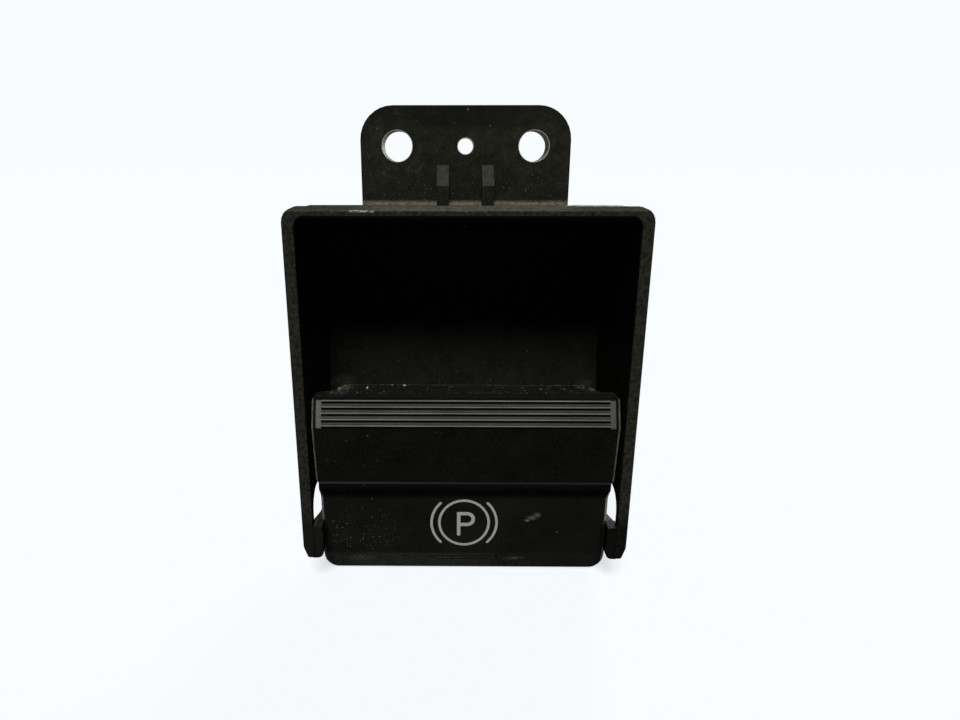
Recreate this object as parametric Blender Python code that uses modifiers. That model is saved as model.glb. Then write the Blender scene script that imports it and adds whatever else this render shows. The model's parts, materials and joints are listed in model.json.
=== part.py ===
"""Electric parking brake switch for a car dashboard.

A moulded frame carries a scooped finger pocket, a mounting plate and two slim
side arms. A ribbed lever turns on a steel axle at its lower end: it is pulled
at its upper lip or pushed at its face, and four coil springs bring it back to
the middle. Behind the lever's lower half a closed module holds the circuit
board, the sliding contacts and the connector.

Frame of reference: +X right, +Y into the dashboard, +Z up. The origin lies on
the mounting plane, midway between the two fixing holes. Most sizes are written
as a depth behind the frame's front rim and a drop below its top face.
"""

import math

import bmesh
import bpy
from mathutils import Matrix, Vector

MM = 0.001
GAP = 0.3 * MM                      # clearance between pieces that touch

# Frame: outer form
FRAME_WIDTH = 71.0 * MM
FRAME_DEPTH = 34.5 * MM
AXLE_DROP = 68.7 * MM               # the lever's axle below the top face
FRAME_HEIGHT = AXLE_DROP + 6.5 * MM
SIDE_WALL = 2.25 * MM
TOP_WALL = 2.2 * MM
TOP_LIP = 0.72 * MM                 # the top wall is thinner at the mouth
TOP_LIP_TAPER = 4.0 * MM
RIM_EDGE = 0.2 * MM                 # the rim's top edge stands above the top face
RIM_CROWN = 1.0 * MM                # and rises to a low crown behind the edge
RIM_CROWN_DEPTH = 2.6 * MM
RIM_CROWN_END = 9.0 * MM
OUTER_CORNER = 3.0 * MM
MOUTH_CORNER = 2.0 * MM
FOOT_TAPER_WIDTH = 1.0 * MM         # seen from the front
FOOT_TAPER_HEIGHT = 2.9 * MM
FOOT_CORNER = 0.9 * MM
FOOT_FRONT_CORNER = 0.6 * MM        # seen from the side
FOOT_REAR_CORNER = 6.0 * MM

# Frame: finger pocket
CEILING_RADIUS = 9.0 * MM
BACK_LEAN_DROP = 27.0 * MM          # below this the back wall leans forward
BACK_LEAN = math.radians(12.0)
BACK_BEND = 8.0 * MM
FLOOR_DROP = AXLE_DROP - 16.7 * MM
FLOOR_THICK = 2.2 * MM
FLOOR_FRONT = 12.0 * MM
FLOOR_FILLET = 4.0 * MM

# Frame: mounting plate
PLATE_SETBACK = FRAME_DEPTH - 10.5 * MM
PLATE_WIDTH = 46.0 * MM
PLATE_THICK = 2.5 * MM
PLATE_CORNER = 7.2 * MM
PLATE_EDGE = 0.9 * MM
PLATE_FILLET = 0.6 * MM
HOLE_RISE = 12.5 * MM               # hole line above the frame's top face
PLATE_MARGIN = 8.4 * MM             # hole line to the plate's top edge
FIXING_HOLE = 6.6 * MM
FIXING_SPACING = 29.9 * MM
LOCATING_HOLE = 3.4 * MM
BOSS_DIAMETER = 12.5 * MM
BOSS_HEIGHT = 4.0 * MM
GUSSET_THICK = 2.6 * MM
GUSSET_SPACING = 9.9 * MM
GUSSET_REACH = 3.6 * MM
GUSSET_FRONT = 4.2 * MM
GUSSET_HEIGHT = 8.5 * MM
REAR_RIB_THICK = 2.0 * MM
REAR_RIB_REACH = 3.4 * MM

# Frame: side windows and feet
ARM_DEPTH = 2.0 * MM
WINDOW_TOP = AXLE_DROP - 8.4 * MM
WINDOW_REAR = FRAME_DEPTH - 8.0 * MM
WINDOW_CORNER = 4.5 * MM
FOOT_THICK = 1.8 * MM               # at the rear; the window's lower edge slopes
FOOT_FRONT_THICK = 5.1 * MM
FOOT_SLOPE_END = 9.0 * MM           # in front of the window's rear edge
TOE_REACH = 2.0 * MM
TOE_DEPTH = 3.6 * MM
TOE_TOP = AXLE_DROP - 1.2 * MM
TOE_CORNER = 1.3 * MM

# Lever cover
LEVER_GAP = 1.05 * MM               # to the frame's side walls
LEVER_TOP = AXLE_DROP - 31.5 * MM
LEVER_BOTTOM = AXLE_DROP + 13.8 * MM
LEVER_WALL = 1.9 * MM
LEVER_TOP_CORNER = 1.8 * MM
LEVER_BOTTOM_CORNER = 4.0 * MM
LEVER_EDGE = 0.5 * MM
LIP_FRONT = 2.9 * MM
LIP_REAR = 8.9 * MM
WING_WIDTH = 3.8 * MM               # grip's full-height ends, outside the chamfers
WING_DEPTH = 3.8 * MM
WING_BOTTOM = AXLE_DROP - 17.2 * MM
CHAMFER_RUN = 2.6 * MM
SKIRT_DROP = AXLE_DROP - 14.7 * MM
CREASE_DEPTH = 0.3 * MM
CREASE_DROP = AXLE_DROP - 24.7 * MM
STEP_TOP_DEPTH = 2.0 * MM
STEP_TOP_DROP = AXLE_DROP - 10.9 * MM
STEP_CORNER = 1.2 * MM              # the face's lower corners
STEP_CORNER_SWEEP = 55.0
PANEL_DEPTH = 5.6 * MM
PANEL_TOP = AXLE_DROP - 6.1 * MM
PANEL_BOTTOM = AXLE_DROP + 8.6 * MM
BEVEL_DEPTH = 7.6 * MM
BOTTOM_EDGE = 4.0 * MM              # depth of the flat underside
CHEEK_DEPTH = 17.0 * MM
CHEEK_RISE = 2.0 * MM
RIB_COUNT = 5
RIB_PITCH = 1.31 * MM
RIB_RADIUS = 0.36 * MM
RIB_TO_SIDE = 2.0 * MM
RIB_FIRST = 1.7 * MM                # from the lip's front edge, down the facet
SLOT_WIDTH = 15.4 * MM
SLOT_HEIGHT = 1.3 * MM
SLOT_DROP = AXLE_DROP + 10.2 * MM

# Hinge
AXLE_DEPTH = 13.5 * MM
AXLE_RADIUS = 1.5 * MM
AXLE_END = 0.6 * MM                 # axle beyond each clip
HUB_RADIUS = 3.6 * MM
HUB_TO_CHEEK = 5.6 * MM             # room for an ear, a clip and the axle's end
EAR_RADIUS = 3.3 * MM
EAR_THICK = 2.5 * MM
EAR_LEAN = 3.6 * MM                 # the ear's root sits this much further back
CLIP_RADIUS = 3.0 * MM
CLIP_THICK = 0.8 * MM

# Lever carrier
CARRIER_TO_CHEEK = 0.7 * MM
CARRIER_PLATE = 1.8 * MM
CARRIER_TOP = AXLE_DROP - 12.2 * MM
CARRIER_BOTTOM = AXLE_DROP + 7.6 * MM
CARRIER_CORNER = 2.0 * MM
ARM_PLACE = 0.45                    # spring arms, between the guide rails and the room's sides
ARM_WIDTH = 5.0 * MM
ARM_THICK = 3.0 * MM
ARM_BEYOND = 1.0 * MM               # arm past the springs
PIP_RADIUS = 1.1 * MM
PIP_HEIGHT = 1.0 * MM
SPRING_REACH = 10.0 * MM            # axle to the springs
FINGER_REACH = 12.5 * MM            # axle to the finger's round tip
FINGER_WIDTH = 4.0 * MM
FINGER_THICK = 2.2 * MM
FINGER_TIP = 1.4 * MM

# Switch module
HOUSING_TO_WALL = 11.95 * MM
HOUSING_FRONT = 17.8 * MM
HOUSING_REAR = 31.4 * MM
HOUSING_BOTTOM = AXLE_DROP + 11.4 * MM
HOUSING_WALL = 1.6 * MM
HOUSING_EDGE = 0.8 * MM
ARM_SLOT_CLEAR = 1.4 * MM
LUG_WIDTH = 7.4 * MM
LUG_THICK = 3.0 * MM
POST_TO_WALL = 8.25 * MM
POST_DEPTH = 29.0 * MM
POST_RADIUS = 3.2 * MM
POST_TOP = AXLE_DROP - 30.7 * MM
POST_HOLE_TOP = AXLE_DROP - 17.7 * MM
SIDE_EAR_TOP = AXLE_DROP + 0.8 * MM
SIDE_EAR_HEIGHT = 5.6 * MM
SIDE_EAR_REACH = 5.2 * MM
SIDE_EAR_DEPTH = 3.2 * MM
COVER_THICK = 2.0 * MM
SPIGOT_WALL = 1.4 * MM
BOARD_CLEAR = 1.0 * MM              # around the board, inside the housing
BOARD_FRONT = 28.6 * MM
BOARD_THICK = 1.6 * MM
BOARD_MARGIN = 4.0 * MM             # the board's edges to its components
SLIDER_HALF_WIDTH = 5.8 * MM
SLIDER_HALF_HEIGHT = 3.5 * MM
SLIDER_DEPTH = 3.0 * MM
RAIL_THICK = 1.5 * MM
WIPER_OFFSET = 3.2 * MM
WIPER_WIDTH = 3.0 * MM
WIPER_HEIGHT = 5.0 * MM

# Springs
SPRING_RADIUS = 2.1 * MM
SPRING_WIRE = 0.35 * MM
SPRING_TURNS = 5
SPRING_STEPS = 10                   # straight pieces in one turn

# Connector
SHROUD_HALF_WIDTH = 11.0 * MM
SHROUD_TOP = AXLE_DROP - 7.7 * MM
SHROUD_HEIGHT = 11.0 * MM
SHROUD_LENGTH = 11.0 * MM
SHROUD_WALL = 1.3 * MM
SHROUD_CORNER = 1.2 * MM
LATCH_HALF_WIDTH = 3.0 * MM
LATCH_HEIGHT = 1.2 * MM
LATCH_SETBACK = 2.0 * MM
PIN_SIZE = 0.8 * MM
PIN_PITCH = 4.0 * MM
PIN_COLUMNS = 4
PIN_ROWS = 2
PIN_LENGTH = 10.0 * MM

# Indicator
LENS_BASE_THICK = 0.8 * MM
LENS_BASE_MARGIN = 0.6 * MM
LENS_RECESS = 0.2 * MM
GUIDE_THICK = 1.8 * MM
GUIDE_REAR = 25.0 * MM
GUIDE_REAR_DROP = AXLE_DROP + 6.0 * MM
GUIDE_TAIL = 3.0 * MM
LED_WIDTH = 3.0 * MM
LED_HEIGHT = 1.6 * MM
LED_THICK = 1.0 * MM

# Fasteners and buffers
SCREW_RADIUS = 1.1 * MM
SCREW_HEAD_RADIUS = 2.4 * MM
SCREW_HEAD = 1.6 * MM
LEVER_SCREW_OFFSET = 18.0 * MM
LEVER_SCREW_DROP = AXLE_DROP - 9.7 * MM
LEVER_SCREW_BITE = 2.8 * MM         # thread in the cover's post
LEVER_POST_RADIUS = 2.6 * MM
BUFFER_TO_EAR = 1.5 * MM
BUFFER_WIDTH = 5.0 * MM
BUFFER_FACE = 1.1 * MM
BUFFER_ARM = 0.9 * MM
BUFFER_GRIP = 3.5 * MM

# Values that follow from the sizes above
RIM_Y = -(PLATE_SETBACK + PLATE_THICK + BOSS_HEIGHT)
TOP_Z = -HOLE_RISE
INNER_HALF = FRAME_WIDTH / 2 - SIDE_WALL
BACK_DEPTH = FRAME_DEPTH - TOP_WALL
FLOOR_UNDER = FLOOR_DROP + FLOOR_THICK
PLATE_REAR = PLATE_SETBACK + PLATE_THICK
LEVER_HALF = INNER_HALF - LEVER_GAP
CHEEK_INNER = LEVER_HALF - LEVER_WALL
RIB_HALF_LENGTH = LEVER_HALF - RIB_TO_SIDE
CARRIER_HALF_WIDTH = CHEEK_INNER - CARRIER_TO_CHEEK
HUB_HALF_LENGTH = CHEEK_INNER - HUB_TO_CHEEK
BORE_RADIUS = AXLE_RADIUS + GAP
SCREW_BORE = SCREW_RADIUS + GAP
EAR_INNER = HUB_HALF_LENGTH + GAP
EAR_OUTER = EAR_INNER + EAR_THICK
CARRIER_FRONT = PANEL_DEPTH + LEVER_WALL + GAP
CARRIER_REAR = CARRIER_FRONT + CARRIER_PLATE
ARM_TOP = AXLE_DROP - ARM_THICK / 2
ARM_UNDER = AXLE_DROP + ARM_THICK / 2
TIP_DEPTH = AXLE_DEPTH + FINGER_REACH
SPRING_DEPTH = AXLE_DEPTH + SPRING_REACH
SLIDER_FRONT = TIP_DEPTH - SLIDER_DEPTH / 2
SLIDER_REAR = TIP_DEPTH + SLIDER_DEPTH / 2
HOUSING_TOP = FLOOR_UNDER + 2 * GAP
HOUSING_CEILING = HOUSING_TOP + HOUSING_WALL
HOUSING_FLOOR = HOUSING_BOTTOM - HOUSING_WALL
HOUSING_HALF_WIDTH = INNER_HALF - HOUSING_TO_WALL
ROOM_HALF = HOUSING_HALF_WIDTH - HOUSING_WALL
RAIL_INSIDE = SLIDER_HALF_WIDTH + GAP
RAIL_OUTSIDE = RAIL_INSIDE + RAIL_THICK
ARM_OFFSET = RAIL_OUTSIDE + (ROOM_HALF - RAIL_OUTSIDE) * ARM_PLACE
POST_OFFSET = INNER_HALF - POST_TO_WALL
LUG_TOP = HOUSING_TOP + GAP
LUG_UNDER = LUG_TOP + LUG_THICK
SIDE_EAR_MIDDLE = SIDE_EAR_TOP + SIDE_EAR_HEIGHT / 2
BOARD_HALF_WIDTH = ROOM_HALF - BOARD_CLEAR
BOARD_TOP = HOUSING_CEILING + BOARD_CLEAR
BOARD_BOTTOM = HOUSING_FLOOR - BOARD_CLEAR
BOARD_REAR = BOARD_FRONT + BOARD_THICK
COVER_FRONT = HOUSING_REAR + GAP
COVER_REAR = COVER_FRONT + COVER_THICK
BEVEL_SLOPE = (BEVEL_DEPTH - PANEL_DEPTH) / (LEVER_BOTTOM - PANEL_BOTTOM)
SLOT_DEPTH = PANEL_DEPTH + (SLOT_DROP - PANEL_BOTTOM) * BEVEL_SLOPE
LENS_BASE_FRONT = SLOT_DEPTH + LEVER_WALL + 2 * GAP
LENS_BASE_REAR = LENS_BASE_FRONT + LENS_BASE_THICK
GUIDE_FRONT = LENS_BASE_REAR + GAP
BEYOND = 1.0 * MM                   # how far a cutter runs past what it cuts

PARTS = "electric_parking_brake_switch"
CUTTERS = "cutters"
SIDES = ((-1, "left"), (1, "right"))


def clear_scene():
    """Remove every object, so that the script can be run again."""
    for thing in list(bpy.data.objects):
        bpy.data.objects.remove(thing, do_unlink=True)


def collection(name):
    """Return the named collection, linked to the scene."""
    found = bpy.data.collections.get(name)
    if found is None:
        found = bpy.data.collections.new(name)
    if name not in bpy.context.scene.collection.children:
        bpy.context.scene.collection.children.link(found)
    return found


def material(name, colour, roughness, metallic=0.0):
    """Return a Principled material; a later call by the same name reuses it."""
    found = bpy.data.materials.get(name)
    if found is None:
        found = bpy.data.materials.new(name)
        found.use_nodes = True
    shader = found.node_tree.nodes["Principled BSDF"]
    shader.inputs["Base Color"].default_value = (*colour, 1.0)
    shader.inputs["Roughness"].default_value = roughness
    shader.inputs["Metallic"].default_value = metallic
    return found


def steel():
    """Bright steel, for the axle and its fasteners."""
    return material("steel", (0.50, 0.50, 0.49), 0.32, 1.0)


def spring_steel():
    """Darker sprung steel, for the springs and clips."""
    return material("spring_steel", (0.35, 0.35, 0.36), 0.35, 1.0)


def add_object(name, shape, finish):
    """Make an object of a bmesh: a part if it has a finish, else a cutter."""
    mesh = bpy.data.meshes.new(name)
    shape.to_mesh(mesh)
    shape.free()
    piece = bpy.data.objects.new(name, mesh)
    if finish is None:
        collection(CUTTERS).objects.link(piece)
        piece.hide_render = True
        piece.display_type = "WIRE"
    else:
        collection(PARTS).objects.link(piece)
        mesh.materials.append(finish)
    return piece


def box(name, x, depth, drop, finish=None):
    """A block between two values of x, of depth and of drop."""
    shape = bmesh.new()
    bmesh.ops.create_cube(shape, size=1.0)
    for vertex in shape.verts:
        right, back, top = (value > 0 for value in vertex.co)
        vertex.co = (x[1] if right else x[0], RIM_Y + (depth[1] if back else depth[0]),
                     TOP_Z - (drop[0] if top else drop[1]))
    return add_object(name, shape, finish)


def side_block(name, sign, x, depth, drop):
    """A block on one side, with x given as distances from the middle."""
    return box(f"{name}_{sign}", tuple(sorted((sign * x[0], sign * x[1]))), depth, drop)


def bar(name, axis, radius, centre, ends, finish=None, sides=16):
    """A round bar along an axis, between two ends.

    The centre is (depth, drop) along X, (x, drop) along Y and (x, depth) along Z.
    """
    shape = bmesh.new()
    bmesh.ops.create_cone(shape, cap_ends=True, segments=sides, radius1=radius, radius2=radius,
                          depth=abs(ends[1] - ends[0]))
    middle = sum(ends) / 2
    first, second = centre
    if axis == "X":
        place = Matrix.Translation((middle, RIM_Y + first, TOP_Z - second))
        turn = Matrix.Rotation(math.radians(90), 4, "Y")
    elif axis == "Y":
        place = Matrix.Translation((first, RIM_Y + middle, TOP_Z - second))
        turn = Matrix.Rotation(math.radians(90), 4, "X")
    else:
        place = Matrix.Translation((first, RIM_Y + second, TOP_Z - middle))
        turn = Matrix.Identity(4)
    bmesh.ops.transform(shape, matrix=place @ turn, verts=shape.verts)
    return add_object(name, shape, finish)


def arc(centre, radius, start, end, steps):
    """Points on an arc, from one angle to another in degrees."""
    points = []
    for step in range(steps + 1):
        angle = math.radians(start + (end - start) * step / steps)
        points.append(Vector((centre[0] + radius * math.cos(angle), centre[1] + radius * math.sin(angle))))
    return points


def rounded(corners, steps=4):
    """Turn (u, v, radius) corners into a closed outline with round corners."""
    outline = []
    for index, (u, v, radius) in enumerate(corners):
        here = Vector((u, v))
        if radius <= 0:
            outline.append(here)
            continue
        before = (Vector(corners[index - 1][:2]) - here).normalized()
        after = (Vector(corners[(index + 1) % len(corners)][:2]) - here).normalized()
        half = before.angle(after) / 2
        centre = here + (before + after).normalized() * radius / math.sin(half)
        first = here + before * radius / math.tan(half) - centre
        last = here + after * radius / math.tan(half) - centre
        start = math.degrees(math.atan2(first.y, first.x))
        sweep = math.degrees(math.atan2(last.y, last.x)) - start
        sweep = (sweep + 180) % 360 - 180
        outline.extend(arc(centre, radius, start, start + sweep, steps))
    return outline


def rounded_rectangle(u, v, radius, steps=4):
    """Outline of a rectangle between two values of u and of v."""
    corners = ((u[0], v[0]), (u[1], v[0]), (u[1], v[1]), (u[0], v[1]))
    return rounded([(*corner, radius) for corner in corners], steps)


def outline_place(axis, offset):
    """Matrix that stands a flat outline across an axis at an offset."""
    if axis == "X":
        return Matrix(((0, 0, 1, offset), (1, 0, 0, RIM_Y), (0, -1, 0, TOP_Z), (0, 0, 0, 1)))
    if axis == "Y":
        return Matrix(((1, 0, 0, 0), (0, 0, 1, RIM_Y + offset), (0, -1, 0, TOP_Z), (0, 0, 0, 1)))
    return Matrix(((1, 0, 0, 0), (0, 1, 0, RIM_Y), (0, 0, -1, TOP_Z - offset), (0, 0, 0, 1)))


def curve_to_bmesh(curve):
    """Turn a curve into a closed bmesh, with its caps welded on."""
    drawn = bpy.data.objects.new("drawn_curve", curve)
    bpy.context.scene.collection.objects.link(drawn)
    drawn_mesh = bpy.data.meshes.new_from_object(drawn.evaluated_get(bpy.context.evaluated_depsgraph_get()))
    bpy.data.objects.remove(drawn, do_unlink=True)
    shape = bmesh.new()
    shape.from_mesh(drawn_mesh)
    bpy.data.meshes.remove(drawn_mesh)
    bmesh.ops.remove_doubles(shape, verts=shape.verts, dist=1e-6)
    return shape


def prism(name, axis, outline, ends, finish=None):
    """Extrude a flat outline along an axis, between two ends.

    The outline is (depth, drop) along X, (x, drop) along Y and (x, depth) along Z.
    """
    curve = bpy.data.curves.new(name, "CURVE")
    curve.dimensions = "2D"
    curve.fill_mode = "BOTH"
    curve.extrude = abs(ends[1] - ends[0]) / 2
    line = curve.splines.new("POLY")
    line.points.add(len(outline) - 1)
    for point, (u, v) in zip(line.points, outline):
        point.co = (u, v, 0.0, 1.0)
    line.use_cyclic_u = True
    shape = curve_to_bmesh(curve)
    bmesh.ops.transform(shape, matrix=outline_place(axis, sum(ends) / 2), verts=shape.verts)
    bmesh.ops.recalc_face_normals(shape, faces=shape.faces)
    return add_object(name, shape, finish)


def combine(target, tool, operation):
    """Add one Boolean to the target."""
    change = target.modifiers.new(tool.name, "BOOLEAN")
    change.operation = operation
    change.solver = "EXACT"
    change.object = tool


def cut(target, *tools):
    """Take the tools' shapes out of the target."""
    for tool in tools:
        combine(target, tool, "DIFFERENCE")


def join(target, *tools):
    """Add the tools' shapes to the target."""
    for tool in tools:
        combine(target, tool, "UNION")


def bevel_edges(piece, width, segments=1, angle=40.0):
    """Break the sharp edges of a piece."""
    change = piece.modifiers.new("edges", "BEVEL")
    change.width = width
    change.segments = segments
    change.limit_method = "ANGLE"
    change.angle_limit = math.radians(angle)


def back_depth(drop):
    """Depth of the pocket's back wall at a drop below the top face."""
    return BACK_DEPTH - max(0.0, drop - BACK_LEAN_DROP) * math.tan(BACK_LEAN)


def frame_blank(finish):
    """Outer form of the moulding: the side profile within the front outline."""
    half = FRAME_WIDTH / 2
    side = rounded([
        (0.0, -RIM_EDGE, GAP),
        (RIM_CROWN_DEPTH, -RIM_CROWN, RIM_CROWN_DEPTH),
        (RIM_CROWN_END, 0.0, RIM_CROWN_END),
        (FRAME_DEPTH, 0.0, CEILING_RADIUS + TOP_WALL),
        (FRAME_DEPTH, FRAME_HEIGHT, FOOT_REAR_CORNER),
        (0.0, FRAME_HEIGHT, FOOT_FRONT_CORNER),
    ], steps=8)
    front = rounded([
        (-half, -RIM_CROWN, OUTER_CORNER),
        (half, -RIM_CROWN, OUTER_CORNER),
        (half, FRAME_HEIGHT - FOOT_TAPER_HEIGHT, OUTER_CORNER),
        (half - FOOT_TAPER_WIDTH, FRAME_HEIGHT, FOOT_CORNER),
        (-half + FOOT_TAPER_WIDTH, FRAME_HEIGHT, FOOT_CORNER),
        (-half, FRAME_HEIGHT - FOOT_TAPER_HEIGHT, OUTER_CORNER),
    ], steps=5)
    frame = prism("frame", "X", side, (-half - BEYOND, half + BEYOND), finish)
    outline = prism("front_outline", "Y", front, (-BEYOND, FRAME_DEPTH + BEYOND))
    combine(frame, outline, "INTERSECT")
    return frame


def bay_cutter():
    """Room behind and below the pocket, between the side walls."""
    under_depth = back_depth(FLOOR_UNDER) + TOP_WALL / math.cos(BACK_LEAN)
    bottom = FRAME_HEIGHT + BEYOND
    rear = FRAME_DEPTH + BEYOND
    outline = rounded([
        (-BEYOND, FLOOR_UNDER, 0.0),
        (under_depth, FLOOR_UNDER, FLOOR_FILLET),
        (FRAME_DEPTH, BACK_LEAN_DROP, 0.0),
        (rear, BACK_LEAN_DROP, 0.0),
        (rear, bottom, 0.0),
        (-BEYOND, bottom, 0.0),
    ])
    return prism("bay", "X", outline, (-INNER_HALF, INNER_HALF))


def pocket_cutter():
    """Finger pocket with its scooped back, and the shaft that the lever fills."""
    bottom = FRAME_HEIGHT + BEYOND
    lip_slope = (TOP_WALL - TOP_LIP) / TOP_LIP_TAPER
    outline = rounded([
        (-BEYOND, TOP_LIP - BEYOND * lip_slope, 0.0),
        (TOP_LIP_TAPER, TOP_WALL, 0.0),
        (BACK_DEPTH, TOP_WALL, CEILING_RADIUS),
        (BACK_DEPTH, BACK_LEAN_DROP, BACK_BEND),
        (back_depth(FLOOR_DROP), FLOOR_DROP, FLOOR_FILLET),
        (FLOOR_FRONT, FLOOR_DROP, 2 * GAP),
        (FLOOR_FRONT, bottom, 0.0),
        (-BEYOND, bottom, 0.0),
    ], steps=6)
    mouth = rounded([
        (-INNER_HALF, TOP_LIP, MOUTH_CORNER),
        (INNER_HALF, TOP_LIP, MOUTH_CORNER),
        (INNER_HALF, bottom + BEYOND, 0.0),
        (-INNER_HALF, bottom + BEYOND, 0.0),
    ])
    pocket = prism("pocket", "X", outline, (-INNER_HALF - BEYOND, INNER_HALF + BEYOND))
    combine(pocket, prism("mouth_outline", "Y", mouth, (-2 * BEYOND, FRAME_DEPTH)), "INTERSECT")
    return pocket


def mounting_plate():
    """Plate that stands above the pocket; its foot runs down into the top wall."""
    half = PLATE_WIDTH / 2
    top = -(HOLE_RISE + PLATE_MARGIN)
    outline = rounded([
        (-half, top, PLATE_CORNER),
        (half, top, PLATE_CORNER),
        (half, TOP_WALL, 0.0),
        (-half, TOP_WALL, 0.0),
    ], steps=8)
    plate = prism("mounting_plate", "Y", outline, (PLATE_SETBACK, PLATE_REAR))
    bevel_edges(plate, PLATE_EDGE, 1, 60.0)
    return plate


def plate_fillet():
    """Small slope that fills the corner in front of the plate's foot."""
    half = PLATE_WIDTH / 2 - PLATE_EDGE
    inside = PLATE_SETBACK + PLATE_THICK / 2
    outline = [
        (PLATE_SETBACK - 2 * PLATE_FILLET, PLATE_FILLET),
        (PLATE_SETBACK, -PLATE_FILLET),
        (inside, -PLATE_FILLET),
        (inside, PLATE_FILLET),
    ]
    return prism("plate_fillet", "X", outline, (-half, half))


def boss(sign):
    """Spacer boss behind a fixing hole."""
    start = PLATE_SETBACK + PLATE_THICK / 2
    return bar(f"boss_{sign}", "Y", BOSS_DIAMETER / 2, (sign * FIXING_SPACING / 2, -HOLE_RISE),
               (start, PLATE_REAR + BOSS_HEIGHT), sides=28)


def gusset(sign):
    """Web in front of the plate: a sloped face above an upright one."""
    front = PLATE_SETBACK - GUSSET_REACH
    inside = PLATE_SETBACK + PLATE_THICK / 2
    outline = [
        (front, TOP_WALL),
        (front, -GUSSET_FRONT),
        (PLATE_SETBACK, -GUSSET_HEIGHT),
        (inside, -GUSSET_HEIGHT),
        (inside, TOP_WALL),
    ]
    middle = sign * GUSSET_SPACING / 2
    return prism(f"gusset_{sign}", "X", outline, (middle - GUSSET_THICK / 2, middle + GUSSET_THICK / 2))


def rear_rib(sign):
    """Rib behind the plate that ties a boss to the pocket's top."""
    middle = sign * FIXING_SPACING / 2
    half = REAR_RIB_THICK / 2
    inside = PLATE_SETBACK + PLATE_THICK / 2
    start = -HOLE_RISE + FIXING_HOLE / 2 + SIDE_WALL
    return box(f"rear_rib_{sign}", (middle - half, middle + half), (inside, PLATE_REAR + REAR_RIB_REACH),
               (start, TOP_WALL + CEILING_RADIUS / 2))


def hinge_ear(sign):
    """Ear under the pocket floor that holds one end of the axle."""
    low = Vector((AXLE_DEPTH, AXLE_DROP))
    high = Vector((AXLE_DEPTH + EAR_LEAN, FLOOR_DROP + FLOOR_THICK / 2))
    lean = math.degrees(math.atan2(EAR_LEAN, low.y - high.y))
    across = Vector((math.cos(math.radians(lean)), math.sin(math.radians(lean)))) * EAR_RADIUS
    outline = [high - across, high + across, *arc(low, EAR_RADIUS, lean, lean + 180.0, 10)]
    ends = sorted((sign * EAR_INNER, sign * EAR_OUTER))
    return prism(f"hinge_ear_{sign}", "X", outline, ends)


def module_post(sign):
    """Round post under the scoop for a module screw."""
    return bar(f"module_post_{sign}", "Z", POST_RADIUS, (sign * POST_OFFSET, POST_DEPTH), (POST_TOP, HOUSING_TOP))


def window_cutter(sign):
    """Window through a side wall; its lower edge slopes down to the rear."""
    bottom = FRAME_HEIGHT - FOOT_THICK
    outline = rounded([
        (ARM_DEPTH, WINDOW_TOP, WINDOW_CORNER),
        (WINDOW_REAR, WINDOW_TOP, WINDOW_CORNER),
        (WINDOW_REAR, bottom, WINDOW_CORNER),
        (WINDOW_REAR - FOOT_SLOPE_END, bottom, WINDOW_CORNER),
        (ARM_DEPTH, FRAME_HEIGHT - FOOT_FRONT_THICK, WINDOW_CORNER),
    ], steps=5)
    return prism(f"side_window_{sign}", "X", outline, sorted((sign * (INNER_HALF - BEYOND), sign * FRAME_WIDTH)))


def toe(sign):
    """Foot's inward toe beside the side window, at the front."""
    inner = sign * (INNER_HALF - TOE_REACH)
    outer = sign * (INNER_HALF + GAP)
    outline = rounded([
        (outer, TOE_TOP, 0.0),
        (inner, TOE_TOP, GAP),
        (inner, FRAME_HEIGHT, TOE_CORNER),
        (outer, FRAME_HEIGHT, 0.0),
    ])
    return prism(f"toe_{sign}", "Y", outline, (GAP, TOE_DEPTH))


def build_frame():
    """The one-piece moulded frame."""
    frame = frame_blank(material("frame_plastic", (0.012, 0.012, 0.010), 0.5))
    cut(frame, bay_cutter())
    join(frame, mounting_plate(), plate_fillet())
    for sign, _ in SIDES:
        join(frame, boss(sign), gusset(sign), rear_rib(sign), module_post(sign))
    cut(frame, pocket_cutter())
    through = (PLATE_SETBACK - BEYOND, PLATE_REAR + BOSS_HEIGHT + BEYOND)
    for sign, _ in SIDES:
        cut(frame, window_cutter(sign))
        join(frame, toe(sign), hinge_ear(sign))
        cut(frame, bar(f"fixing_hole_{sign}", "Y", FIXING_HOLE / 2, (sign * FIXING_SPACING / 2, -HOLE_RISE),
                       through, sides=28))
        cut(frame, bar(f"post_hole_{sign}", "Z", SCREW_BORE, (sign * POST_OFFSET, POST_DEPTH),
                       (POST_HOLE_TOP, HOUSING_TOP + BEYOND), sides=12))
    cut(frame, bar("locating_hole", "Y", LOCATING_HOLE / 2, (0.0, -HOLE_RISE), through, sides=20))
    cut(frame, bar("axle_bore", "X", BORE_RADIUS, (AXLE_DEPTH, AXLE_DROP), (-EAR_OUTER - BEYOND, EAR_OUTER + BEYOND)))
    return frame


def lever_profile():
    """Side outline of the lever, from the lip down to the hinge cheeks."""
    return rounded([
        (LIP_REAR, LEVER_TOP, 0.8 * MM),
        (LIP_FRONT, LEVER_TOP, 1.3 * MM),
        (CREASE_DEPTH, CREASE_DROP, 1.0 * MM),
        (STEP_TOP_DEPTH, STEP_TOP_DROP, 0.6 * MM),
        (PANEL_DEPTH, PANEL_TOP, 2.4 * MM),
        (PANEL_DEPTH, PANEL_BOTTOM, 1.0 * MM),
        (BEVEL_DEPTH, LEVER_BOTTOM, 1.2 * MM),
        (BEVEL_DEPTH + BOTTOM_EDGE, LEVER_BOTTOM, 1.2 * MM),
        (CHEEK_DEPTH, PANEL_BOTTOM - CHEEK_RISE, 3.0 * MM),
        (CHEEK_DEPTH, PANEL_TOP, 3.0 * MM),
        (LIP_REAR, SKIRT_DROP + CHEEK_RISE, 0.0),
    ])


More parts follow.
